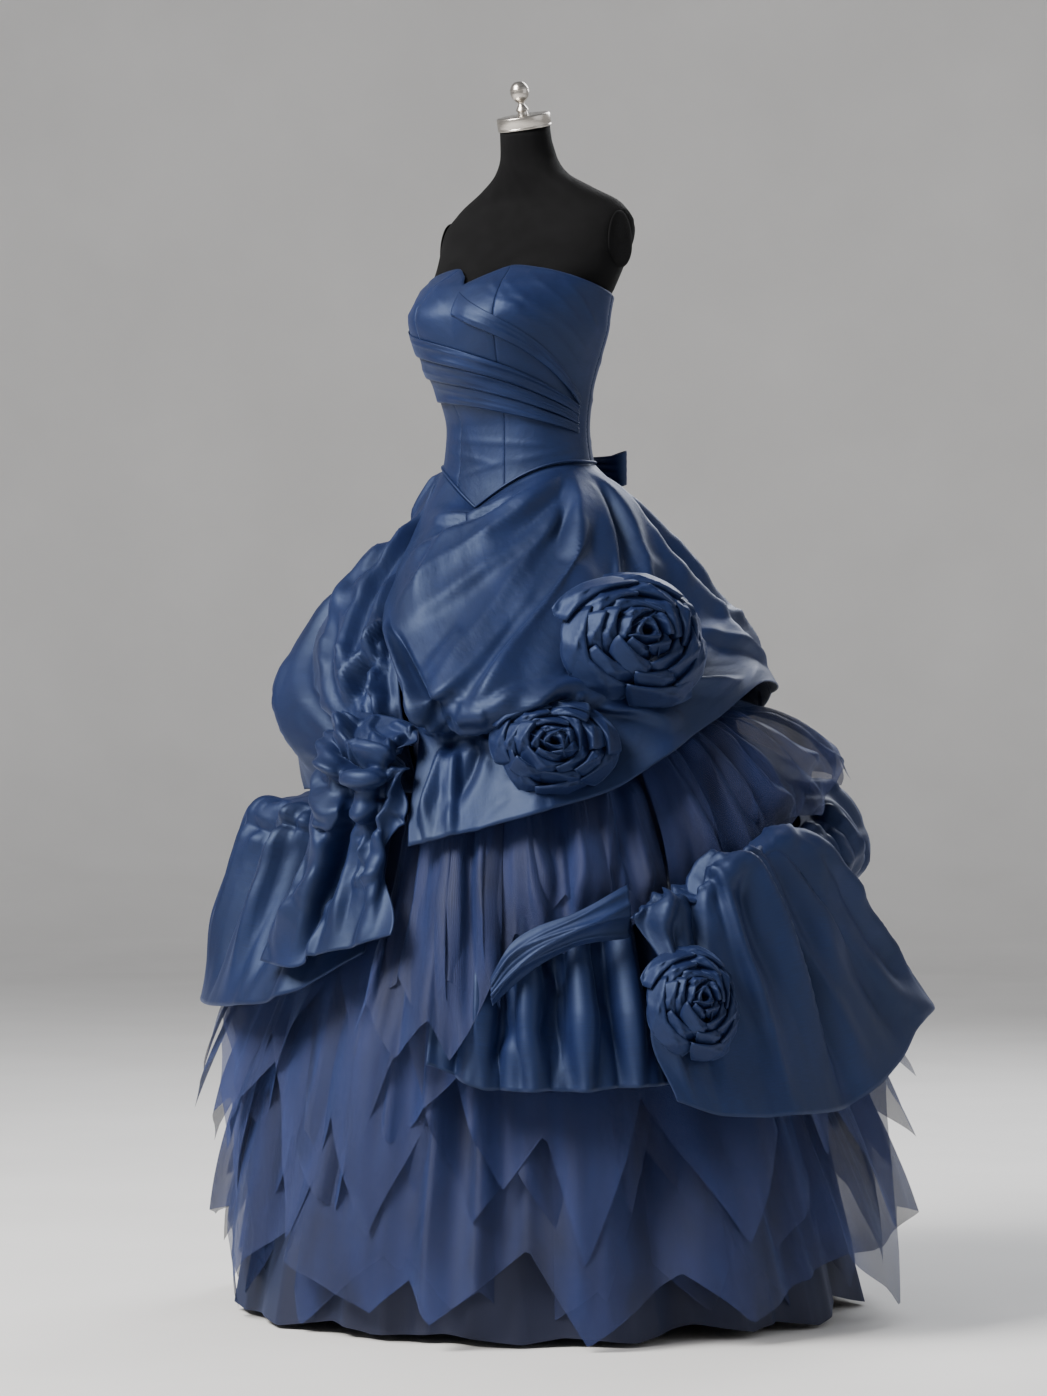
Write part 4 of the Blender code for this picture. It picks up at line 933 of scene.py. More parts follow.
def normals(points, closed=False):
    if closed:
        wrapped = np.concatenate([points[:, -1:], points, points[:, :1]], axis=1)
        across = np.gradient(wrapped, axis=1)[:, 1:-1]
    else:
        across = np.gradient(points, axis=1)
    n = np.cross(np.gradient(points, axis=0), across)
    return n / np.maximum(np.linalg.norm(n, axis=-1, keepdims=True), 1e-12)


def taffeta_piece(name, points, thickness, offset=1.0, closed=False):
    """Grid of taffeta that stands for the node of its own name, thickened to a sheet."""
    obj = piece(name, grid_mesh(name, points, closed=closed), "taffeta", [name])
    return thicken(obj, thickness, offset)


def thicken(obj, thickness, offset=1.0):
    solid = obj.modifiers.new("Thickness", "SOLIDIFY")
    solid.thickness = thickness
    solid.offset = offset
    return obj


# Creases: lines on the cloth with a crisp crest


def flat_grid(points):
    """Places on the cloth in metres, measured from its middle line and its top edge."""
    rows, columns = points.shape[:2]
    wide, long = lengths(points, 1), float(lengths(points, 0).mean())
    s, v = np.meshgrid(np.linspace(0, 1, columns), np.linspace(0, 1, rows))
    return (s - 0.5) * wide[:, None], v * long, wide, long


def add_crease(height_map, flat, line, width, height, lean):
    """Adds one ridge, or a valley where height is negative, along a line of (s, v) points."""
    x, y, wide, long = flat
    line = np.array(line, float)
    span = np.interp(line[:, 1], np.linspace(0, 1, len(wide)), wide)
    stations = np.linspace(0, 1, len(line))
    t = np.linspace(0, 1, 3 if len(line) == 2 else 9)
    px = through(stations, (line[:, 0] - 0.5) * span, t)
    py = through(stations, line[:, 1] * long, t)
    reach = 5 * width
    near = (x > px.min() - reach) & (x < px.max() + reach) & (y > py.min() - reach) & (y < py.max() + reach)
    if not near.any():
        return
    gx, gy = x[near], y[near]
    best = np.full(gx.shape, 1e9)
    side, along = np.zeros_like(gx), np.zeros_like(gx)
    for k in range(len(t) - 1):
        dx, dy = px[k + 1] - px[k], py[k + 1] - py[k]
        size = max(dx * dx + dy * dy, 1e-12)
        f = np.clip(((gx - px[k]) * dx + (gy - py[k]) * dy) / size, 0, 1)
        ox, oy = gx - px[k] - f * dx, gy - py[k] - f * dy
        d = np.hypot(ox, oy)
        closer = d < best
        best = np.where(closer, d, best)
        side = np.where(closer, np.sign(dx * oy - dy * ox), side)
        along = np.where(closer, (k + f) / (len(t) - 1), along)
    reach_side = width * CREASE_SHARPEN * (1 + lean * side)
    away = (np.sqrt(best**2 + CREST_ROUND**2) - CREST_ROUND) / reach_side
    crest = np.clip(1 - away / CREASE_FOOT, 0, 1) ** 1.35
    ends = smoothstep(along / 0.22) * smoothstep((1 - along) / 0.30)
    height_map[near] += height * CREASE_RAISE * crest * ends


def crumple(height_map, flat, seed, count, size, height, fall, spread, *where):
    """Small seeded creases, each of its own length, height and direction about the fall of the cloth."""
    chance = random.Random(seed)
    _, _, wide, long = flat
    for _ in range(int(count)):
        s = chance.uniform(where[0], where[1])
        v = chance.uniform(where[2], where[3])
        angle = math.radians(fall + chance.gauss(0, spread))
        length = size * chance.uniform(0.5, 1.6)
        local = float(np.interp(v, np.linspace(0, 1, len(wide)), wide))
        ds, dv = length * math.sin(angle) / local / 2, length * math.cos(angle) / long / 2
        bow = chance.uniform(-0.25, 0.25) * length / local
        line = ((s - ds, v - dv), (s + bow, v), (s + ds, v + dv))
        high = height * chance.choice((1, 1, -0.7)) * chance.uniform(0.4, 1.2)
        wide_by = length * chance.uniform(0.05, 0.11)
        add_crease(height_map, flat, line, wide_by, high, chance.uniform(-0.5, 0.5))


def fold_offset(folds, s, v):
    out = np.zeros_like(s * v)
    for s_top, s_edge, v_from, v_to, width, depth in folds:
        middle = s_top + (s_edge - s_top) * v
        rise = smoothstep((v - v_from) / 0.25) * smoothstep((v_to - v) / 0.15)
        out += depth * rise * np.exp(-(((s - middle) / width) ** 2))
    return out


def on_petticoat(z):
    return petticoat_radius(z) + TULLE + 2 * SEAM


def panel_points(panel, columns, steps, drop=1.0, phase=0.0, edges=(), wave_share=1.0):
    """Grid of a cloth panel's points; drop shortens it towards its top edge, and edges ruffle its sides."""
    rows = panel["rows"]
    s, v = np.linspace(0, 1, columns + 1), np.linspace(0, 1, steps + 1) * drop
    stations = np.arange(len(rows))
    t = s * (len(rows) - 1)

    def across(column):
        return through(stations, [r[column] for r in rows], t)

    azimuth = spline([across(0), across(1), across(2)], v)
    if rows[0][3] is None:
        top_z = seam_z(across(0)) - SEAM
        top_r = seam_radius(across(0), top_z)
    else:
        top_z = across(4)
        seats = [r[3] or float(on_petticoat(r[4])) for r in rows]
        top_r = np.maximum(through(stations, seats, t), on_petticoat(top_z))
    radii = spline([top_r, *(across(c) for c in range(5, len(rows[0]), 2))], v)
    heights = spline([top_z, *(across(c) for c in range(6, len(rows[0]), 2))], v)
    grid_s, grid_v = np.meshgrid(s, v)
    radii = radii + fold_offset(panel["folds"], grid_s, grid_v)
    if panel["waves"]:
        count, depth = panel["waves"]
        wave = 2 * math.pi * count * grid_s + phase
        radii += wave_share * depth * smoothstep(grid_v) * (np.cos(wave) + 0.35 * np.cos(2.3 * wave + 1.0))
    for side, count, swing, out in edges:
        near = np.exp(-(grid_s if side == "start" else 1 - grid_s) / 0.13) * smoothstep(grid_v / 0.12)
        turn = 2 * math.pi * count * grid_v
        azimuth = azimuth + swing * near * np.sin(turn)
        radii = radii + out * near * (0.5 - 0.5 * np.cos(turn + 0.8))
    return skirt_point(azimuth, radii, heights), grid_s, grid_v


def seam_windows(s, v, seams):
    """1 over the cloth, falling to 0 at the edges that are sewn: any of top, start and end."""
    window = np.ones_like(s)
    if "top" in seams:
        window *= smoothstep(v / 0.035)
    if "start" in seams:
        window *= smoothstep(s / 0.03)
    if "end" in seams:
        window *= smoothstep((1 - s) / 0.03)
    return window


def make_taffeta_panels():
    for name, looks in LOOKS.items():
        ruffles = {"edges": looks.get("edges", ()), "wave_share": looks.get("waves", 1.0)}
        points, s, v = panel_points(PANELS[name], *looks["grid"], **ruffles)
        flat = flat_grid(points)
        height_map = np.zeros(points.shape[:2])
        for line, width, height, lean in looks["creases"]:
            add_crease(height_map, flat, line, width, height, lean)
        for number, scatter in enumerate(looks["crumples"]):
            crumple(height_map, flat, len(name) * 100 + number, *scatter)
        height_map = np.clip(height_map, *CREASE_LIMITS) * seam_windows(s, v, looks["seams"])
        points = points + normals(points) * height_map[..., None]
        taffeta_piece(name, points, TAFFETA)


def make_tulle_panels():
    """Layers of tulle under one upper flounce, each a little shorter and folded in its own way."""
    for name, (columns, steps, layers, creases) in TULLE_LOOKS.items():
        for layer in range(layers):
            drop, phase = 1 - 0.10 * layer, 1.9 * layer
            points, s, v = panel_points(PANELS[name], columns, steps, drop, phase, wave_share=0.35)
            flat = flat_grid(points)
            height_map = np.zeros(points.shape[:2])
            for line, width, height, lean in creases:
                moved = [(a + 0.03 * layer, b) for a, b in line]
                add_crease(height_map, flat, moved, width, height, lean)
            crumple(height_map, flat, 40 + 7 * layer + len(name), *TULLE_CRUMPLES)
            hem = smoothstep((v / v.max() - 0.35) / 0.65)
            chance = random.Random(len(name) + layer)
            points_at = (np.arange(5) + 0.5 + np.array([chance.uniform(-0.3, 0.3) for _ in range(5)])) / 5
            wave = 1.7 * np.interp(s, [0, *points_at, 1], HEM_POINTS[layer])
            points = points + normals(points) * (height_map * smoothstep(v / 0.08))[..., None]
            points[..., 2] += 0.030 * hem * (wave - 0.8)
            points -= skirt_outward(points) * 0.004 * layer * smoothstep(v / 0.2)[..., None]
            made = name if layer == 0 else f"{name}_layer_{layer + 1}"
            # Their cloth is the darker copy of the tulle, its tone painted shade.
            piece(made, grid_mesh(made, points), "tulle_shaded", [name] if layer == 0 else ())


def skirt_outward(points):
    out = points - skirt_centre(points[..., 2])
    out[..., 2] = 0
    return out / np.maximum(np.linalg.norm(out, axis=-1, keepdims=True), 1e-9)


# Rings of tulle round the petticoat, each of several layers with pointed hems


def ring_nodes(ring_name):
    return [f"{ring_name}_{gore + 1}" for gore in range(GORES)]


def petal_line(ring_name, seed, petals, tips, notches, rise, azimuth):
    """Height of a layer's zigzag hem at each azimuth, from its seeded tips and notches."""
    chance = random.Random(seed)
    found = []
    for k in range(petals):
        at = seed * 7.3 + 360 * (k + chance.uniform(-0.24, 0.24)) / petals
        found.append((at % 360, chance.uniform(*tips)))
    for ring, at, half, _, tip_z in LONG_POINTS:
        if ring == ring_name:
            at += seed % 3 * 2 - 2
            found = [(a, z) for a, z in found if abs((a - at + 180) % 360 - 180) > half * 0.75]
            found.append((at % 360, tip_z + rise))
    found.sort()
    places, heights = [], []
    for (at, z), (beyond, beyond_z) in zip(found, found[1:] + found[:1]):
        gap = (beyond - at) % 360
        low = max(z, beyond_z)
        notch = low + (chance.uniform(*notches) - low) * min(1.0, gap / 26)
        places += [at, (at + gap * chance.uniform(0.35, 0.65)) % 360]
        heights += [z, notch]
    order = np.argsort(places)
    return np.interp(azimuth % 360, np.array(places)[order], np.array(heights)[order], period=360)


def make_ring_layers():
    rings = {ring[0]: ring for ring in TULLE_RINGS}
    azimuth = (np.arange(RING_GRID[0]) * 360 / RING_GRID[0])[None, :]
    v = np.linspace(0, 1, RING_GRID[1] + 1)[:, None]
    for name, layer in RING_LAYERS.items():
        ring_name, cloth, seed, petals, tips, notches, out, rise = layer
        _, waves, top_z, gap, gain, depth, *_ = rings[ring_name]
        hem = petal_line(ring_name, seed, petals, tips, notches, rise, azimuth)
        z = top_z + (hem - top_z) * v
        below = np.maximum(0.0, WAVES_START_Z - z) / WAVES_START_Z
        spread = (top_z - z) / top_z
        radius = petticoat_radius(z)
        form = np.linalg.norm(form_point(azimuth, z) - skirt_centre(z), axis=-1)
        radius = np.where(z < FORM_BOTTOM_Z, radius, np.maximum(radius, form + PETTICOAT_CLEARANCE))
        radius = radius + gap + gain * np.sin(spread * math.pi / 2) + out * smoothstep(spread * 2)
        chance = random.Random(seed + 50)
        folds = np.cos(np.radians(waves * (azimuth - FIRST_GORE_DEG)) + seed * 0.9) * 0.7
        for k, share in RING_FOLDS:
            shift = chance.uniform(0, 2 * math.pi)
            drift = chance.uniform(-1.6, 1.6)
            swing = np.radians(azimuth) * k + shift + drift * v
            uneven = 0.55 + 0.45 * np.sin(np.radians(azimuth) * (k % 5 + 2) + shift)
            folds = folds + (1 - np.abs(np.sin(swing / 2)) * 2) * share * uneven * 1.8
        radius = radius + depth * RING_DEPTH * smoothstep(below * 1.6) * folds
        swept = (notches[1] - hem) / (notches[1] - tips[0])
        radius = radius + 0.020 * np.clip(swept, 0, 1) * spread**3
        if ring_name == "tulle_low":
            radius = radius + LOW_FLARE * smoothstep((0.30 - z) / 0.28)
        for tip_ring, at, half, reach, _ in LONG_POINTS:
            if tip_ring == ring_name:
                at += seed % 3 * 2 - 2
                apart = np.abs((azimuth - at + 180) % 360 - 180)
                share = np.clip(1 - apart / half, 0, 1) ** 0.8
                short = 0.018 * (seed % 3)
                radius = radius + (reach - short - radius) * share * v**1.6 * 0.92
        points = skirt_point(azimuth, radius, z)
        points[..., 2] = np.maximum(points[..., 2], 0.003)
        nodes = ring_nodes(ring_name) if name == ring_name else ()
        piece(name, grid_mesh(name, points, closed=True), cloth, nodes)


# Bodice


def bodice_height(azimuth, z):
    """Wrinkles of the bodice at places given as azimuth and height."""
    radius = 0.125
    x, y = np.radians((np.asarray(azimuth) + 180) % 360 - 180) * radius, -z
    out = np.zeros(np.broadcast(x, y).shape)
    for a0, z0, a1, z1, sag, width, height in BODICE_CREASES:
        x0, x1 = math.radians(a0) * radius, math.radians(a1) * radius
        t = np.clip((x - x0) / (x1 - x0), 0, 1)
        line = -(z0 + (z1 - z0) * t + sag * np.sin(math.pi * t))
        away = y - line
        beyond = np.maximum(0, np.maximum(x0 - x, x - x1))
        d = np.hypot(away, beyond)
        crest = np.exp(-(np.sqrt(d * d + 4e-7) - 6e-4) / width)
        out += 1.3 * height * crest * smoothstep(t / 0.25 + 0.05) * smoothstep((1 - t) / 0.25 + 0.05)
    return out


def make_bodice():
    for name, first, last in BODICE_PANELS:
        columns = round((last - first) * (1.2 if first < 30 or first > 200 else 0.8))
        edge = math.degrees(SEAM / 2 / 0.13)
        azimuth = np.linspace(first + edge, last - edge, columns + 1)[None, :]
        v = np.linspace(0, 1, 85)[:, None]
        top, bottom = neckline_z(azimuth), seam_z(azimuth) + 2 * SEAM
        z = top + (bottom - top) * v
        bend = bodice_height(azimuth, z) * smoothstep(v / 0.03)
        hem = -0.0006 * np.exp(-(((v * (top - bottom)) - 0.006) ** 2) / 0.0012**2)
        seam = np.minimum(azimuth - first, last - azimuth) * math.radians(0.125)
        puckered = -0.0010 * np.exp(-seam / 0.0025) * (1 + 0.4 * np.sin(z * 900))
        points = form_point(azimuth, z, BODY_CLEARANCE + np.maximum(bend, -0.0010) + hem + puckered)
        taffeta_piece(name, points, BODICE)


def make_pleats():
    """Folded bands across the bodice front, tucked flat above and rolled at the lower edge."""
    for number, row in enumerate(PLEATS):
        first, last, high_start, high_end, low_start, low_end, _ = row
        columns, across = 110, 26
        t = np.linspace(0, 1, columns + 1)[None, :]
        u = np.linspace(0, 1.22, across + 1)[:, None]
        azimuth = first + (last - first) * t
        sag = PLEAT_SAG * np.sin(math.pi * t)
        high = high_start + (high_end - high_start) * t + sag
        low = low_start + (low_end - low_start) * t + sag
        front = np.minimum(u, 1.0)
        under = np.maximum(u - 1.0, 0.0)
        z = high + (low - high) * (front - under)
        roll = PLEAT_ROLL * (0.25 + 0.75 * front**1.5) * (1 - (under / 0.22) ** 1.5 * 0.85)
        ends = 0.35 + 0.65 * smoothstep(t / 0.12) * smoothstep((1 - t) / 0.10)
        gathers = np.zeros(np.broadcast(t, u).shape)
        chance = random.Random(number + 3)
        for _ in range(5):
            at, slope = chance.uniform(0.1, 0.95), chance.uniform(-0.35, 0.35)
            d = np.abs(front - at - slope * (t - 0.5)) * 0.034
            strength = smoothstep((t - chance.uniform(0, 0.35)) / 0.2)
            gathers += chance.uniform(0.5, 1.3) * 0.0011 * strength * np.exp(-d / 0.0026)
        wrinkle = 0.0006 * np.sin(t * 19 + number) * np.sin(front * 5 + t * 8)
        out = BODY_CLEARANCE + BODICE + 0.0004 + roll * ends
        out = out + gathers * (1 - under * 4.5).clip(0, 1) + wrinkle
        points = form_point(azimuth, z, np.maximum(out, BODY_CLEARANCE + BODICE + 0.0003))
        name = f"bodice_pleat_{number + 1}"
        taffeta_piece(name, points, PLEAT_CLOTH)


def make_piping():
    """Round cord that follows the basque seam."""
    azimuth = np.arange(0, 360, 1.0)
    z = seam_z(azimuth) + PIPING_RADIUS + 4 * SEAM
    path = form_point(azimuth, z, BODY_CLEARANCE + BODICE + PIPING_RADIUS + SEAM)
    ahead = np.roll(path, -1, axis=0) - np.roll(path, 1, axis=0)
    ahead /= np.linalg.norm(ahead, axis=1, keepdims=True)
    out = np.cross(ahead, np.array([0.0, 0.0, 1.0]))
    out /= np.linalg.norm(out, axis=1, keepdims=True)
    over = np.cross(out, ahead)
    angles = np.arange(PIPING_SIDES) * 2 * math.pi / PIPING_SIDES
    rings = [path + PIPING_RADIUS * (math.cos(a) * out + math.sin(a) * over) for a in angles]
    points = np.stack(rings + rings[:1], axis=0)
    mesh = grid_mesh("basque_piping", points, closed=True)
    piece("basque_piping", mesh, "taffeta", ["basque_piping"])


# Roses, sash and bow


def slide_to(points, node, axis):
    """Moves points along an axis until the middle of their reach is the node's own."""
    theirs = np.array([v.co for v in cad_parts[node].data.vertices]) @ axis
    mine = points.reshape(-1, 3) @ axis
    return points + axis * ((theirs.min() + theirs.max() - mine.min() - mine.max()) / 2)


def rose_petal(rose, ring, k, chance):
    """One folded flap of a rose: up its inner side to a crisp rim, then down outwards, creased across."""
    _, _, _, half_width, half_height, depth, *_ = rose
    petals, rim, high, spread, drop = ring
    turn = 2 * math.pi * (k + 0.5 * (petals % 2) + chance.uniform(-0.10, 0.10)) / petals
    rim *= chance.uniform(0.93, 1.06)
    high = depth * high * chance.uniform(0.90, 1.06)
    tilt = depth * chance.uniform(0.05, 0.44)
    skew = chance.uniform(-0.22, 0.34)
    half = rim * math.tan(math.pi / petals) * chance.uniform(1.12, 1.34)
    u = np.linspace(-1, 1, 13)[None, :]
    w = np.linspace(0, 1, 15)[:, None]
    inner = np.clip(1 - w / 0.28, 0, 1)
    outer = np.clip((w - 0.28) / 0.72, 0, 1)
    reach = rim - 0.07 * inner + spread * outer
    side = half * u * (1 + 0.55 * outer * spread / rim) * (1 - 0.10 * inner - 0.22 * outer**2)
    reach = reach + skew * side - 0.42 * side**2 / rim
    lift = high - depth * 0.46 * inner - depth * drop * outer**1.15
    lift = lift - tilt * u * 0.5 - depth * 0.10 * u**2
    crease = np.abs(u * 0.9 + 0.5 - 1.3 * outer)
    lift = lift + depth * 0.150 * np.exp(-crease / 0.16) * smoothstep(outer * 6)
    second = np.abs(u * 0.8 - 0.55 + 0.7 * outer)
    lift = lift + depth * 0.110 * np.exp(-second / 0.14) * smoothstep(outer * 6)
    x = half_width * (reach * math.cos(turn) - side * math.sin(turn))
    y = half_height * (reach * math.sin(turn) + side * math.cos(turn))
    return np.stack([x, y, np.maximum(lift, -0.004)], axis=-1)


def make_roses():
    for rose in ROSES:
        name, azimuth, z, *_, lean, _ = rose
        chance = random.Random(len(name))
        grids = [
            rose_petal(rose, ring, k, chance)[:, ::-1]
            for ring in ROSE_RINGS
            for k in range(ring[0])
        ]
        out = direction(np.float64(azimuth))
        normal = out + np.array([0, 0, math.tan(math.radians(lean))])
        normal /= np.linalg.norm(normal)
        across = np.cross([0, 0, 1.0], out)
        across /= np.linalg.norm(across)
        up = np.cross(normal, across)
        base = skirt_point(np.float64(azimuth), np.float64(0.4), np.float64(z))
        placed = [base + g[..., :1] * across + g[..., 1:2] * up + g[..., 2:] * normal for g in grids]
        together = np.concatenate([g.reshape(-1, 3) for g in placed])
        shift = slide_to(together, name, out) - together
        meshes = []
        for k, grid in enumerate(placed):
            meshes.append(grid_mesh(f"{name}_{k}", grid + shift[0]))
        obj = piece(name, joined(name, meshes), "taffeta", [name])
        thicken(obj, ROSE_CLOTH, 0.0)


def joined(name, meshes):
    """One mesh of several, with their UVs."""
    corners, faces, uvs, count = [], [], [], 0
    for mesh in meshes:
        corners += [tuple(v.co) for v in mesh.vertices]
        faces += [tuple(i + count for i in p.vertices) for p in mesh.polygons]
        uvs += [tuple(d.uv) for d in mesh.uv_layers[0].data]
        count += len(mesh.vertices)
        bpy.data.meshes.remove(mesh)
    made = bpy.data.meshes.new(name)
    made.from_pydata(corners, [], faces)
    layer = made.uv_layers.new(name="cloth")
    layer.data.foreach_set("uv", np.array(uvs, np.float32).reshape(-1))
    return made


def make_sash():
    """Strip twisted across the front: its folds run along it and cross where it turns."""
    stations = np.arange(len(SASH))
    t = np.linspace(0, 1, 71)[None, :]
    side = np.linspace(0.5, -0.5, 41)[:, None]
    azimuth, radius, z, height = (
        through(stations, [r[c] for r in SASH], t * (len(SASH) - 1)) for c in range(4)
    )
    twist = np.sin(t * 4.0 + side * 4) * 0.3
    bulge = 0.010 * (1 - np.abs(side) * 2)
    ridges = 0.0
    for at, slope, high in SASH_FOLDS:
        ridges = ridges + high * np.exp(-np.abs(side - at - slope * (t - 0.5)) / 0.07)
    frayed = 0.0025 * np.sin(t * 9 + side * 3) * np.abs(side) * 2
    points = skirt_point(azimuth, radius + bulge + ridges + 0.004 * twist, z + side * height + frayed)
    points = slide_to(points[:, ::-1], "sash", direction(np.float64(SASH[2][0])))
    taffeta_piece("sash", points, TAFFETA * 0.8)


def make_bow():
    width, depth, height = KNOT_SIZE
    for side, name in ((1, "bow_loop_left"), (-1, "bow_loop_right")):
        angle = np.arange(72)[None, :] * 2 * math.pi / 72 * side
        share = np.linspace(0.5, -0.5, 25)[:, None]
        along = 0.5 + 0.5 * np.cos(angle)
        open_by = np.sin(angle) * (0.35 + 0.65 * along)
        start = width / 2 + TAFFETA + SEAM
        x = side * (start + (BOW_REACH - start) * along) + 0 * share
        pleats = 0.0022 * np.cos(share * 26 + along * 2) * (1 - along) ** 0.6
        y = BOW_DEPTH / 2 * open_by - 0.012 * along**2 + pleats
        tall = BOW_HEIGHT * (0.5 + 0.5 * along)
        points = np.stack([x, y, BOW_Z + share * tall + 0.003 * np.sin(angle * 2)], axis=-1)
        points = slide_to(points, name, np.array([0.0, 1.0, 0.0]))
        taffeta_piece(name, points, BOW_CLOTH, closed=True)
    angle = np.linspace(0, 2 * math.pi, 49)[None, :-1]
    share = np.linspace(-1, 1, 25)[:, None]
    square = 0.5 / np.maximum(np.abs(np.cos(angle)), np.abs(np.sin(angle))) * 0.35 + 0.5 * 0.65
    waist = 1 - 0.16 * share**2 + 0.05 * np.cos(share * 14)
    knot = np.stack(
        [
            width * square * np.cos(angle) * waist,
            -depth * square * np.sin(angle) * waist,
            -height / 2 * share * (1 - 0.06 * np.cos(angle) ** 2),
        ],
        axis=-1,
    )
    knot[..., 2] += BOW_Z
    knot = slide_to(knot, "bow_knot", np.array([0.0, 1.0, 0.0]))
    taffeta_piece("bow_knot", knot, BOW_CLOTH, -1.0, closed=True)


# Dress form and stand


def hidden_inset(azimuth, z):
    below_neck = smoothstep((neckline_z(azimuth) + NECK_EASE - z) / 0.02)
    above_seam = smoothstep((z - seam_z(azimuth) + 0.05) / 0.03)
    return FORM_PADDING * below_neck * above_seam


def cap_matrix():
    tilt = Matrix.Rotation(math.radians(CAP_TILT_DEG), 4, "X")
    return Matrix.Translation(CAP_CENTRE) @ tilt


def make_form():
    """Torso under one stretched cover, with flat ovals where arms would start."""
    azimuth = np.arange(0, 360, 3.0)[None, :]
    heights = np.linspace(FORM_SECTIONS[-1][0], FORM_SECTIONS[0][0], 130)[:, None]
    points = form_point(azimuth, heights, -hidden_inset(azimuth, heights))
    points[..., 0] = np.clip(points[..., 0], -ARM_CUT_X, ARM_CUT_X)
    cap = np.array(cap_matrix())
    ring = direction(azimuth[0]) * NECK_TOP_RADIUS - np.array([0, 0, SEAM])
    points[0] = ring @ cap[:3, :3].T + cap[:3, 3]
    inside = points[:1] * 0.0 + points[0].mean(axis=0)
    bottom = points[-1:] * 0.0 + points[-1].mean(axis=0)
    points = np.concatenate([inside, points, bottom], axis=0)
    piece("form_torso", grid_mesh("form_torso", points, closed=True), "jersey", ["form_torso"])
    for side, name in ((1, "form_arm_plate_left"), (-1, "form_arm_plate_right")):
        angle = np.arange(0, 360, 4.0)[None, :]
        share, proud = (np.array(column)[:, None] for column in zip(*ARM_PLATE_PROFILE))
        x = side * (ARM_CUT_X + SEAM / 2 + proud + 0 * angle)
        y = ARM_PLATE_CENTRE[0] + ARM_PLATE_HALF[1] * share * np.cos(np.radians(angle)) * side
        rise = np.sin(np.radians(angle))
        z = ARM_PLATE_CENTRE[1] + np.where(rise > 0, ARM_PLATE_HALF[0], ARM_PLATE_LOW) * share * rise
        points = np.stack([x, y, z], axis=-1)
        piece(name, grid_mesh(name, points, closed=True), "jersey", [name])


def turned(name, profile, matrix, material, nodes, sides=96):
    """Turned piece from its profile of radius and height, from the top of the axis down."""
    angle = np.arange(sides)[None, :] * 2 * math.pi / sides
    radius = np.array([p[0] for p in profile])[:, None]
    height = np.array([p[1] for p in profile])[:, None]
    points = np.stack([radius * np.sin(angle), -radius * np.cos(angle), height + 0 * angle], axis=-1)
    m = np.array(matrix)
    points = points @ m[:3, :3].T + m[:3, 3]
    return piece(name, grid_mesh(name, points, closed=True), material, nodes)


def rounded(profile, count=6):
    """The profile with its corners between short steps smoothed by a curve through it."""
    at = np.arange(len(profile))
    fine = np.linspace(0, len(profile) - 1, (len(profile) - 1) * count + 1)
    return list(zip(through(at, [p[0] for p in profile], fine), through(at, [p[1] for p in profile], fine)))


def make_metal():
    placed = cap_matrix()
    turned("neck_cap", NECK_CAP, placed, "nickel", ["neck_cap"])
    above = placed @ Matrix.Translation((0.0, 0.0, CAP_HEIGHT + SEAM))
    turned("finial", rounded(FINIAL), above, "nickel", ["finial"], 64)
    turned("stand_base", STAND_BASE, Matrix.Identity(4), "steel", ["stand_base"], 128)
    turned("stand_pole", STAND_POLE, Matrix.Identity(4), "steel", ["stand_pole"], 48)


# Materials


class Nodes:
    """Short way to write one material's nodes."""

    def __init__(self, name):
        self.material = bpy.data.materials.new(name)
        self.material.use_nodes = True
        self.tree = self.material.node_tree
        self.shader = self.tree.nodes["Principled BSDF"]
        MATERIALS[name] = self.material

    def add(self, kind, inputs=(), **settings):
        node = self.tree.nodes.new(kind)
        for key, value in settings.items():
            setattr(node, key, value)
        for key, value in dict(inputs).items():
            if isinstance(value, bpy.types.NodeSocket):
                self.tree.links.new(value, node.inputs[key])
            else:
                node.inputs[key].default_value = value
        return node

    def set(self, **values):
        for key, value in values.items():
            socket = self.shader.inputs[key.replace("_", " ")]
            if isinstance(value, bpy.types.NodeSocket):
                self.tree.links.new(value, socket)
            else:
                socket.default_value = value

    def stretched(self, x, y, z=1.0, source="UV"):
        where = self.add("ShaderNodeTexCoord")
        return self.add("ShaderNodeMapping", {"Vector": where.outputs[source], "Scale": (x, y, z)}).outputs[0]

    def noise(self, vector, scale, detail=3.0, rough=0.5):
        inputs = {"Vector": vector, "Scale": scale, "Detail": detail, "Roughness": rough}
        return self.add("ShaderNodeTexNoise", inputs).outputs["Fac"]

    def ramp(self, value, stops):
        node = self.add("ShaderNodeValToRGB", {"Fac": value})
        while len(node.color_ramp.elements) < len(stops):
            node.color_ramp.elements.new(0.5)
        for element, (at, colour) in zip(node.color_ramp.elements, stops):
            element.position = at
            element.color = colour if len(colour) == 4 else (*colour, 1.0)
        return node.outputs["Color"]

    def remap(self, value, low, high):
        return self.add("ShaderNodeMapRange", {"Value": value, "To Min": low, "To Max": high}).outputs[0]

    def maths(self, operation, a, b):
        return self.add("ShaderNodeMath", {0: a, 1: b}, operation=operation).outputs[0]

    def bump(self, height, distance, strength, below=None):
        inputs = {"Height": height, "Distance": distance, "Strength": strength}
        if below is not None:
            inputs["Normal"] = below
        return self.add("ShaderNodeBump", inputs).outputs[0]


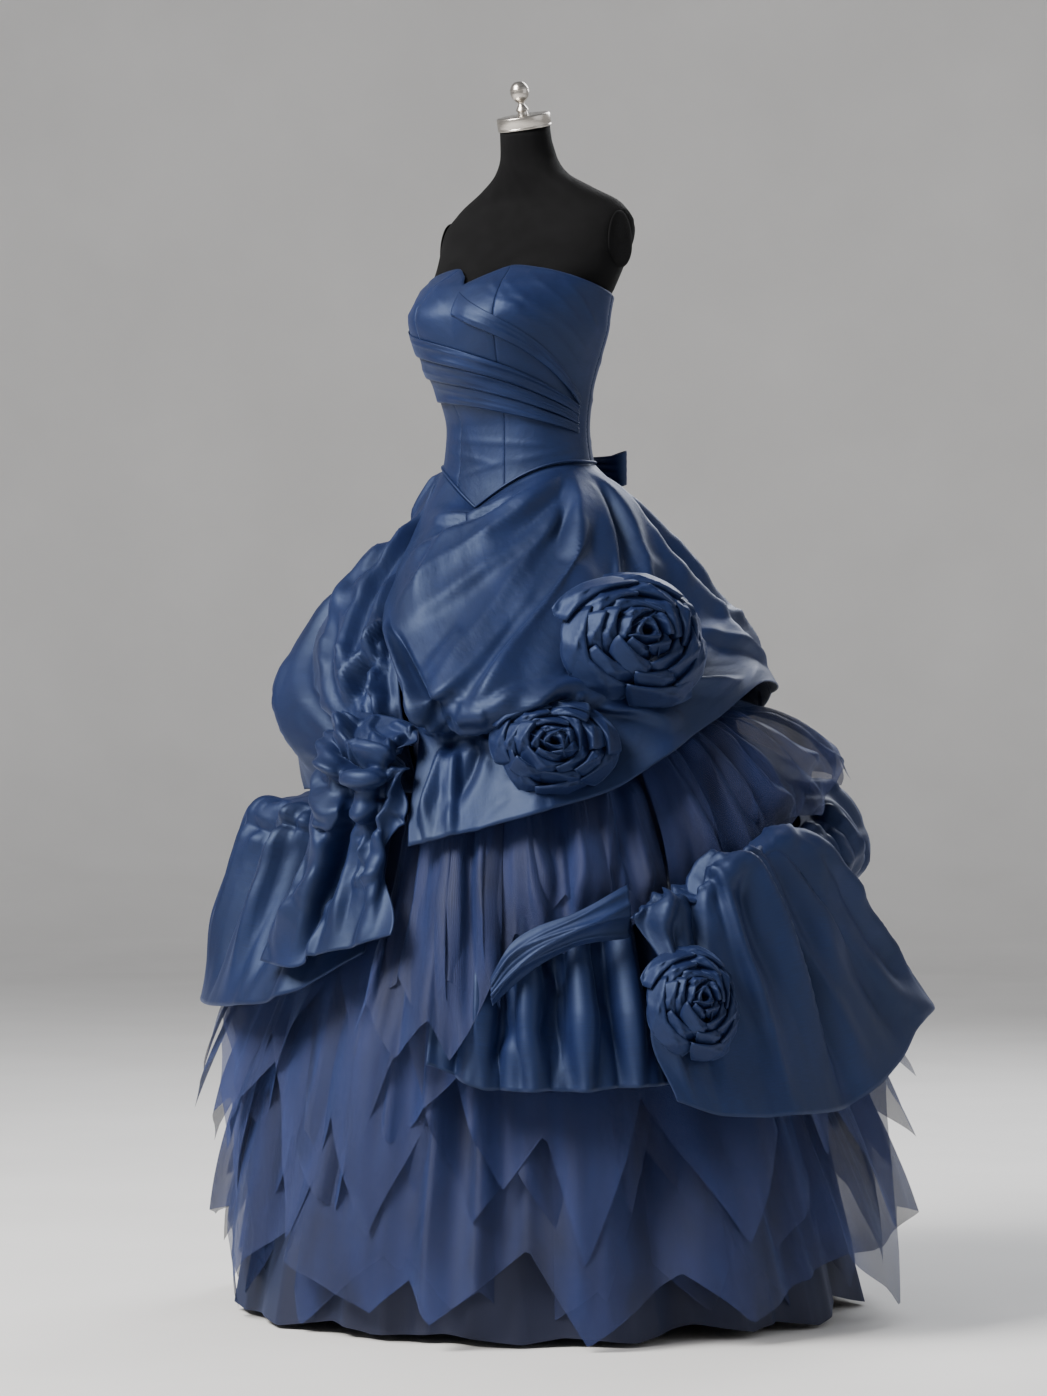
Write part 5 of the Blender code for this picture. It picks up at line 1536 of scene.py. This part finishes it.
def make_taffeta():
    m = Nodes("taffeta")
    cloth = m.stretched(1, 1)
    slubs = m.noise(m.stretched(60, 1400), 1.0, 3.0)
    broad = m.noise(cloth, 9.0, 3.0)
    fine = m.noise(m.stretched(900, 90), 1.0, 2.0)
    mixed = m.maths("ADD", m.maths("MULTIPLY", slubs, 0.45), m.maths("MULTIPLY", broad, 0.55))
    m.set(Base_Color=m.ramp(mixed, [(0.30, TAFFETA_DARK), (0.52, TAFFETA_MID), (0.74, TAFFETA_LIGHT)]))
    m.set(Roughness=m.remap(m.maths("ADD", slubs, broad), 0.42, 0.54))
    warp = m.add("ShaderNodeTexWave", {"Vector": cloth, "Scale": 360.0}, bands_direction="X").outputs["Fac"]
    weft = m.add("ShaderNodeTexWave", {"Vector": cloth, "Scale": 300.0}, bands_direction="Y").outputs["Fac"]
    weave = m.bump(m.maths("MULTIPLY", warp, weft), 0.00012, 0.35)
    slubbed = m.bump(m.maths("ADD", slubs, fine), 0.00025, 0.30, weave)
    below = m.bump(m.noise(cloth, 46.0, 4.0), 0.0022, 0.34, slubbed)
    for across, down, distance in ((26.0, 9.0, 0.0012), (64.0, 30.0, 0.0006)):
        inputs = {"Fac": 0.16, "Color1": m.stretched(across, down), "Color2": noise_colour(m, 9.0)}
        warped = m.add("ShaderNodeMixRGB", inputs).outputs["Color"]
        facets = m.add("ShaderNodeTexVoronoi", {"Vector": warped, "Scale": 1.0}).outputs["Distance"]
        below = m.bump(facets, distance, 0.22, below)
    m.set(Normal=below)
    m.set(IOR=1.48, Sheen_Weight=0.12, Sheen_Roughness=0.35, Sheen_Tint=(0.35, 0.50, 1.0, 1.0))
    m.set(Specular_Tint=(0.48, 0.64, 1.0, 1.0), Specular_IOR_Level=0.62)


def noise_colour(m, scale):
    inputs = {"Vector": m.stretched(1, 1), "Scale": scale, "Detail": 3.0}
    return m.add("ShaderNodeTexNoise", inputs).outputs["Color"]


def make_tulle(name, open_alpha, thread_alpha, dark, light):
    """Net of fine hexagonal holes, more open in some places than in others."""
    m = Nodes(name)
    cloth = m.stretched(1, 1)
    holes = {"Vector": cloth, "Scale": 720.0, "Randomness": 0.12}
    net = m.add("ShaderNodeTexVoronoi", holes, feature="DISTANCE_TO_EDGE").outputs["Distance"]
    edge = {"Value": net, "From Min": 0.05, "From Max": 0.16, "To Min": 1.0, "To Max": 0.0}
    thread = m.add("ShaderNodeMapRange", edge).outputs[0]
    grain = m.noise(m.stretched(24, 3.0), 1.0, 2.0, 0.6)
    alpha = m.remap(thread, open_alpha, thread_alpha)
    m.set(Alpha=m.maths("MULTIPLY", alpha, m.remap(grain, 0.90, 1.12)))
    m.set(Base_Color=m.ramp(m.noise(m.stretched(14, 5), 1.0, 4.0), [(0.3, dark), (0.7, light)]))
    m.set(Roughness=m.remap(grain, 0.58, 0.78), Normal=m.bump(thread, 0.0003, 0.3))
    m.set(Sheen_Weight=0.16, Sheen_Roughness=0.45, Sheen_Tint=(0.26, 0.42, 1.0, 1.0))


def make_other_materials():
    m = Nodes("jersey")
    stitches = {"Vector": m.stretched(1, 1), "Scale": 420.0, "Distortion": 1.5}
    knit = m.add("ShaderNodeTexWave", stitches, bands_direction="X").outputs["Fac"]
    fuzz = m.noise(m.stretched(1, 1), 600.0, 4.0)
    m.set(Base_Color=m.ramp(m.noise(m.stretched(1, 1), 35.0), [(0.3, JERSEY_DARK), (0.7, JERSEY_LIGHT)]))
    m.set(Roughness=m.remap(fuzz, 0.72, 0.92), Normal=m.bump(fuzz, 0.0003, 0.4, m.bump(knit, 0.0002, 0.4)))
    m.set(Sheen_Weight=0.015, Sheen_Roughness=0.5, Specular_IOR_Level=0.12)
    m = Nodes("nickel")
    brushed = m.noise(m.stretched(40, 1800), 1.0, 3.0)
    m.set(Base_Color=m.ramp(brushed, [(0.3, (0.46, 0.43, 0.39)), (0.7, (0.62, 0.58, 0.53))]), Metallic=1.0)
    m.set(Roughness=m.remap(brushed, 0.20, 0.36), Normal=m.bump(brushed, 0.0001, 0.25))
    m = Nodes("steel")
    speckle = m.noise(m.stretched(1, 1, source="Object"), 420.0, 4.0)
    m.set(Base_Color=m.ramp(speckle, [(0.3, (0.035, 0.035, 0.038)), (0.7, (0.07, 0.07, 0.075))]), Metallic=0.6)
    m.set(Roughness=m.remap(speckle, 0.38, 0.55), Normal=m.bump(speckle, 0.0003, 0.25))
    m = Nodes("floor")
    pale = m.noise(m.stretched(1, 1, source="Object"), 2.0, 5.0)
    m.set(Base_Color=m.ramp(pale, [(0.3, (0.82, 0.81, 0.80)), (0.7, (0.88, 0.87, 0.86))]), Roughness=0.8)


# Camera, floor and light


def make_camera():
    data = bpy.data.cameras.new("camera")
    camera = bpy.data.objects.new("camera", data)
    bpy.context.scene.collection.objects.link(camera)
    turn = math.radians(VIEW_AZIMUTH)
    camera.location = (VIEW_DISTANCE * math.sin(turn), -VIEW_DISTANCE * math.cos(turn), VIEW_HEIGHT)
    camera.rotation_euler = (math.radians(90), 0.0, turn)
    data.sensor_fit = "VERTICAL"
    data.sensor_height = 36.0
    data.lens = LENS
    data.shift_x = SHIFT_X
    data.clip_end = 60.0
    bpy.context.scene.camera = camera


def make_stage():
    """Pale round floor that curves up into a pale wall far outside every camera."""
    turn = np.linspace(0, 2 * math.pi, 97)[None, :-1]
    radius, height = (np.array(column)[:, None] for column in zip(*STAGE))
    rows = np.stack(np.broadcast_arrays(radius * np.cos(turn), radius * np.sin(turn), height), -1)
    mesh = grid_mesh("floor", rows, closed=True)
    floor = bpy.data.objects.new("floor", mesh)
    bpy.context.scene.collection.objects.link(floor)
    mesh.materials.append(MATERIALS["floor"])
    for polygon in mesh.polygons:
        polygon.use_smooth = True


def make_lights():
    turn = math.radians(VIEW_AZIMUTH)
    right = Vector((math.cos(turn), math.sin(turn), 0.0))
    near = Vector((math.sin(turn), -math.cos(turn), 0.0))
    for name, (to_right, to_near, height, size, power, colour) in LIGHTS.items():
        data = bpy.data.lights.new(name, "AREA")
        data.shape = "SQUARE"
        data.size = size
        data.energy = power
        data.color = colour
        light = bpy.data.objects.new(name, data)
        bpy.context.scene.collection.objects.link(light)
        light.location = right * to_right + near * to_near + Vector((0, 0, height))
        aim = Vector((0, 0, AIM_HEIGHT)) - light.location
        light.rotation_euler = aim.to_track_quat("-Z", "Y").to_euler()
    world = bpy.data.worlds.new("studio")
    world.use_nodes = True
    world.node_tree.nodes["Background"].inputs["Color"].default_value = (*WORLD_COLOUR, 1.0)
    world.node_tree.nodes["Background"].inputs["Strength"].default_value = WORLD_STRENGTH
    bpy.context.scene.world = world


# Building the whole scene


def main():
    make_taffeta()
    # Three copies of one tulle in three tones: the lighter tulle is painted light, the darker two painted
    # shade; the densest is also opaque, as the petticoat under the net.
    make_tulle("tulle", 0.62, 0.92, TULLE_MID, TULLE_LIGHT)
    make_tulle("tulle_shaded", 0.60, 0.92, TULLE_DARK, TULLE_LIGHT)
    make_tulle("tulle_dense_shaded", 1.10, 1.20, TULLE_DEEP_SHADE, TULLE_DARK)
    make_other_materials()
    make_camera()
    make_stage()
    make_lights()
    make_form()
    make_metal()
    make_bodice()
    make_pleats()
    make_piping()
    make_ring_layers()
    make_tulle_panels()
    make_taffeta_panels()
    make_sash()
    make_roses()
    make_bow()
    bpy.context.scene.cycles.transparent_max_bounces = TULLE_LAYERS_DEEP


MATERIALS = {}
main()
